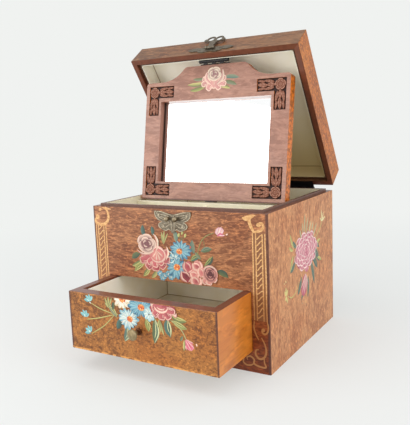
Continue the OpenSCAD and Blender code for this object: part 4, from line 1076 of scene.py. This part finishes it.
def rope(name, middle, foot, strands, pitch, span, climb, brush):
    """Slanting strokes one above another, up a stile, as Geometry Nodes on an empty mesh."""
    tree = bpy.data.node_groups.new(name, "GeometryNodeTree")
    sizes = {"Strands": ("Int", strands), "Pitch": ("Float", pitch), "Span": ("Float", span),
             "Climb": ("Float", climb), "Brush": ("Float", brush), "Gold": ("Material", gold_paint)}
    inputs = {}
    for size, (kind, _) in sizes.items():
        socket = tree.interface.new_socket(size, in_out="INPUT", socket_type="NodeSocket" + kind)
        inputs[size] = socket.identifier
    tree.interface.new_socket("Strokes", in_out="OUTPUT", socket_type="NodeSocketGeometry")
    given = tree.nodes.new("NodeGroupInput").outputs

    def step(kind, settings=(), sockets=()):
        made = tree.nodes.new(kind)
        for setting, value in dict(settings).items():
            setattr(made, setting, value)
        for socket, value in dict(sockets).items():
            if isinstance(value, bpy.types.NodeSocket):
                tree.links.new(value, made.inputs[socket])
            else:
                made.inputs[socket].default_value = value
        return made.outputs

    def scaled(value, factor):
        return step("ShaderNodeMath", {"operation": "MULTIPLY"}, {0: value, 1: factor})[0]

    def point(across=0.0, up=0.0):
        return step("ShaderNodeCombineXYZ", (), {"X": across, "Z": up})[0]

    near, far = scaled(given["Span"], -0.5), scaled(given["Span"], 0.5)
    low, high = scaled(given["Climb"], -0.5), scaled(given["Climb"], 0.5)
    line = step("GeometryNodeCurvePrimitiveBezierSegment", {"mode": "POSITION"}, {
        "Resolution": 8, "Start": point(near, low), "Start Handle": point(scaled(near, 0.2), low),
        "End Handle": point(scaled(far, 0.2), high), "End": point(far, high)})[0]
    tip = step("GeometryNodeCurvePrimitiveCircle", (), {"Resolution": 6, "Radius": given["Brush"]})[0]
    bead = step("GeometryNodeCurveToMesh", (), {"Curve": line, "Profile Curve": tip, "Fill Caps": True})[0]
    flat = step("GeometryNodeTransform", (), {"Geometry": bead, "Scale": (1, 0.12, 1)})[0]
    rungs = step("GeometryNodeMeshLine", (), {
        "Count": given["Strands"], "Offset": point(0.0, given["Pitch"])})[0]
    sway = step("FunctionNodeRandomValue", {"data_type": "FLOAT_VECTOR"},
                {"Min": (0, -0.09, 0), "Max": (0, 0.09, 0), "Seed": 4})[0]
    heft = step("FunctionNodeRandomValue", {"data_type": "FLOAT_VECTOR"},
                {"Min": (0.9, 1, 0.85), "Max": (1.05, 1, 1.15), "Seed": 9})[0]
    laid = step("GeometryNodeInstanceOnPoints", (), {"Points": rungs, "Instance": flat, "Rotation": sway,
                                                    "Scale": heft})[0]
    real = step("GeometryNodeRealizeInstances", (), {"Geometry": laid})[0]
    golden = step("GeometryNodeSetMaterial", (), {"Geometry": real, "Material": given["Gold"]})[0]
    tree.links.new(golden, tree.nodes.new("NodeGroupOutput").inputs[0])

    holder = placed(name + "_tree", bpy.data.meshes.new(name + "_tree"))
    brushed = holder.modifiers.new("rope", "NODES")
    brushed.node_group = tree
    for size, (_, value) in sizes.items():
        brushed[inputs[size]] = value
    mesh = bpy.data.meshes.new_from_object(holder.evaluated_get(bpy.context.evaluated_depsgraph_get()))
    bpy.data.objects.remove(holder)
    mesh.transform(Matrix.Translation((middle, case_front - 0.00006, foot)))
    placed(name, mesh, "case")


GOLD = (220, 168, 96)
wash = Painted((0, case_front, 0))
for middle in (-108.7, 109.1):
    wash.stroke([(middle, z) for z in (61, 90, 120, 159)], 15.4, (138, 86, 46), ends=(0.96, 0.96), steps=3)
wash.finished("gold_wash", "case")
bands = Painted((0, case_front - 0.00003, 0))
for lines in ((-116.4, -113.0, -104.4, -101.0), (101.6, 105.3, 113.2, 116.6)):
    for line in lines:
        wander = [(line + hand.uniform(-0.25, 0.25), z) for z in (61, 80, 100, 120, 140, 158.5)]
        bands.stroke(wander, 1.6, GOLD, ends=(0.8, 0.8), steps=3)
rope("left_rope", -0.1087, 0.0650, 14, 0.0068, 0.0088, 0.0062, 0.0008)
rope("right_rope", 0.1092, 0.0660, 14, 0.0068, 0.0078, 0.0058, 0.0008)

# above the left rope: a wide hook that bulges inwards, with a ball on its outer end
bands.stroke([(-114, 166), (-117, 162), (-114.5, 158.2), (-108, 157), (-101.4, 158.3), (-96.6, 163.5),
              (-95.7, 169), (-97, 174), (-101, 178)], 3.8, GOLD, ends=(0.6, 0.4))
bands.patch((-113.2, 166.4), 3.2, 3.2, GOLD, GOLD)
bands.stroke([(-106, 178.6), (-98, 177.6), (-90.5, 176.6)], 2.6, GOLD)
bands.patch((-108.4, 176), 2.2, 1.8, GOLD, GOLD, 30)

# above the right rope: a leaf on a bent stalk, and a curl
bands.stroke([(89.6, 175), (94, 174.2), (99, 176), (106.4, 178.6)], 5.2, GOLD)
bands.stroke([(98.8, 177), (98.4, 170.8), (100.2, 165.6), (103.4, 159.6)], 3.8, GOLD, ends=(0.9, 0.6))
bands.stroke([(102, 159.4), (107, 160.6), (112, 162.2), (114.6, 166), (113.4, 169.6), (110, 170)], 3.0, GOLD,
             ends=(0.5, 0.7))
bands.patch((109.4, 168), 2.6, 2.4, GOLD, GOLD)

# below: the rope ends in a curl over a drop, a corner point and a lying loop
for side in (-1, 1):
    for points, width in (
            (((101.1, 60), (100.6, 52), (103.2, 44), (106.3, 38.6)), 1.5),
            (((116.9, 61), (118, 55), (117, 49.6), (114, 46.6), (110.8, 48), (110.6, 51.4), (112, 52)), 1.8),
            (((109.4, 42), (113.4, 34.3), (114.8, 25.9), (111.8, 19), (106.2, 17), (101.9, 21.4),
              (102.4, 26.6), (106, 27.6)), 2.0),
            (((112, 19), (112.3, 13.5), (113.8, 8), (105.2, 8.1), (99.4, 10.5), (99.9, 14.8), (95.6, 18.2),
              (91.2, 16.6), (91.5, 13.5)), 1.8),
            (((99.4, 10.5), (96, 8.1), (90.3, 7.4), (86.2, 10.4), (87.4, 14.6)), 1.6)):
        bands.stroke([(side * x, z) for x, z in points], width * 1.2, GOLD, ends=(0.5, 0.4), steps=4)
    bands.patch((side * 112, 51), 2.0, 2.0, GOLD, GOLD)
bands.finished("gold_bands", "case", coat=gold_paint)


# The engraving on the butterfly catch: raised brass lines round each wing and along its veins,
# with eye spots, over a plate that has darkened in its hollows.
ridge_brass = brass("ridge_brass", (172, 160, 138), (128, 116, 94), 0.34, 0.0015)
catch_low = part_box("catch_plate")[0]
catch = Painted((0, catch_low.y, catch_low.z))
for side in (-1, 1):
    for points, width in (
            (((1.6, 21.6), (8, 23), (15, 25), (24.4, 25.2)), 1.1),
            (((24.4, 25.2), (24, 20), (20.5, 16.2), (14.6, 13.6)), 1.1),
            (((14.6, 13.2), (19, 11), (19.2, 7), (13.8, 4)), 1.1),
            (((13.8, 4), (9, 3.2), (6, 5), (3, 3.4)), 1.0),
            (((4, 19.6), (11, 21), (20, 22.8)), 0.8), (((20, 22.8), (19.6, 19.4), (12, 15.4)), 0.8),
            (((5, 17), (12, 18.4), (17.4, 19.8)), 0.7), (((4, 12.6), (9, 11.6), (15.6, 9.6)), 0.8),
            (((4, 11), (8, 8), (13, 6)), 0.8), (((15.6, 9.6), (15.8, 7.4), (13, 6)), 0.7),
            (((1.4, 21), (2.2, 13), (1.4, 2)), 1.0), (((1.6, 19), (3.6, 16), (2, 13)), 0.7)):
        catch.stroke([(side * x, z) for x, z in points], width, GOLD, ends=(0.5, 0.4), steps=3)
    for spot, size in (((19.6, 20.8), 1.3), ((13, 8), 1.4), ((21.6, 23.2), 0.8)):
        catch.patch((side * spot[0], spot[1]), size, size, GOLD, GOLD, corners=8)
catch.finished("catch_engraving", "case", coat=ridge_brass)
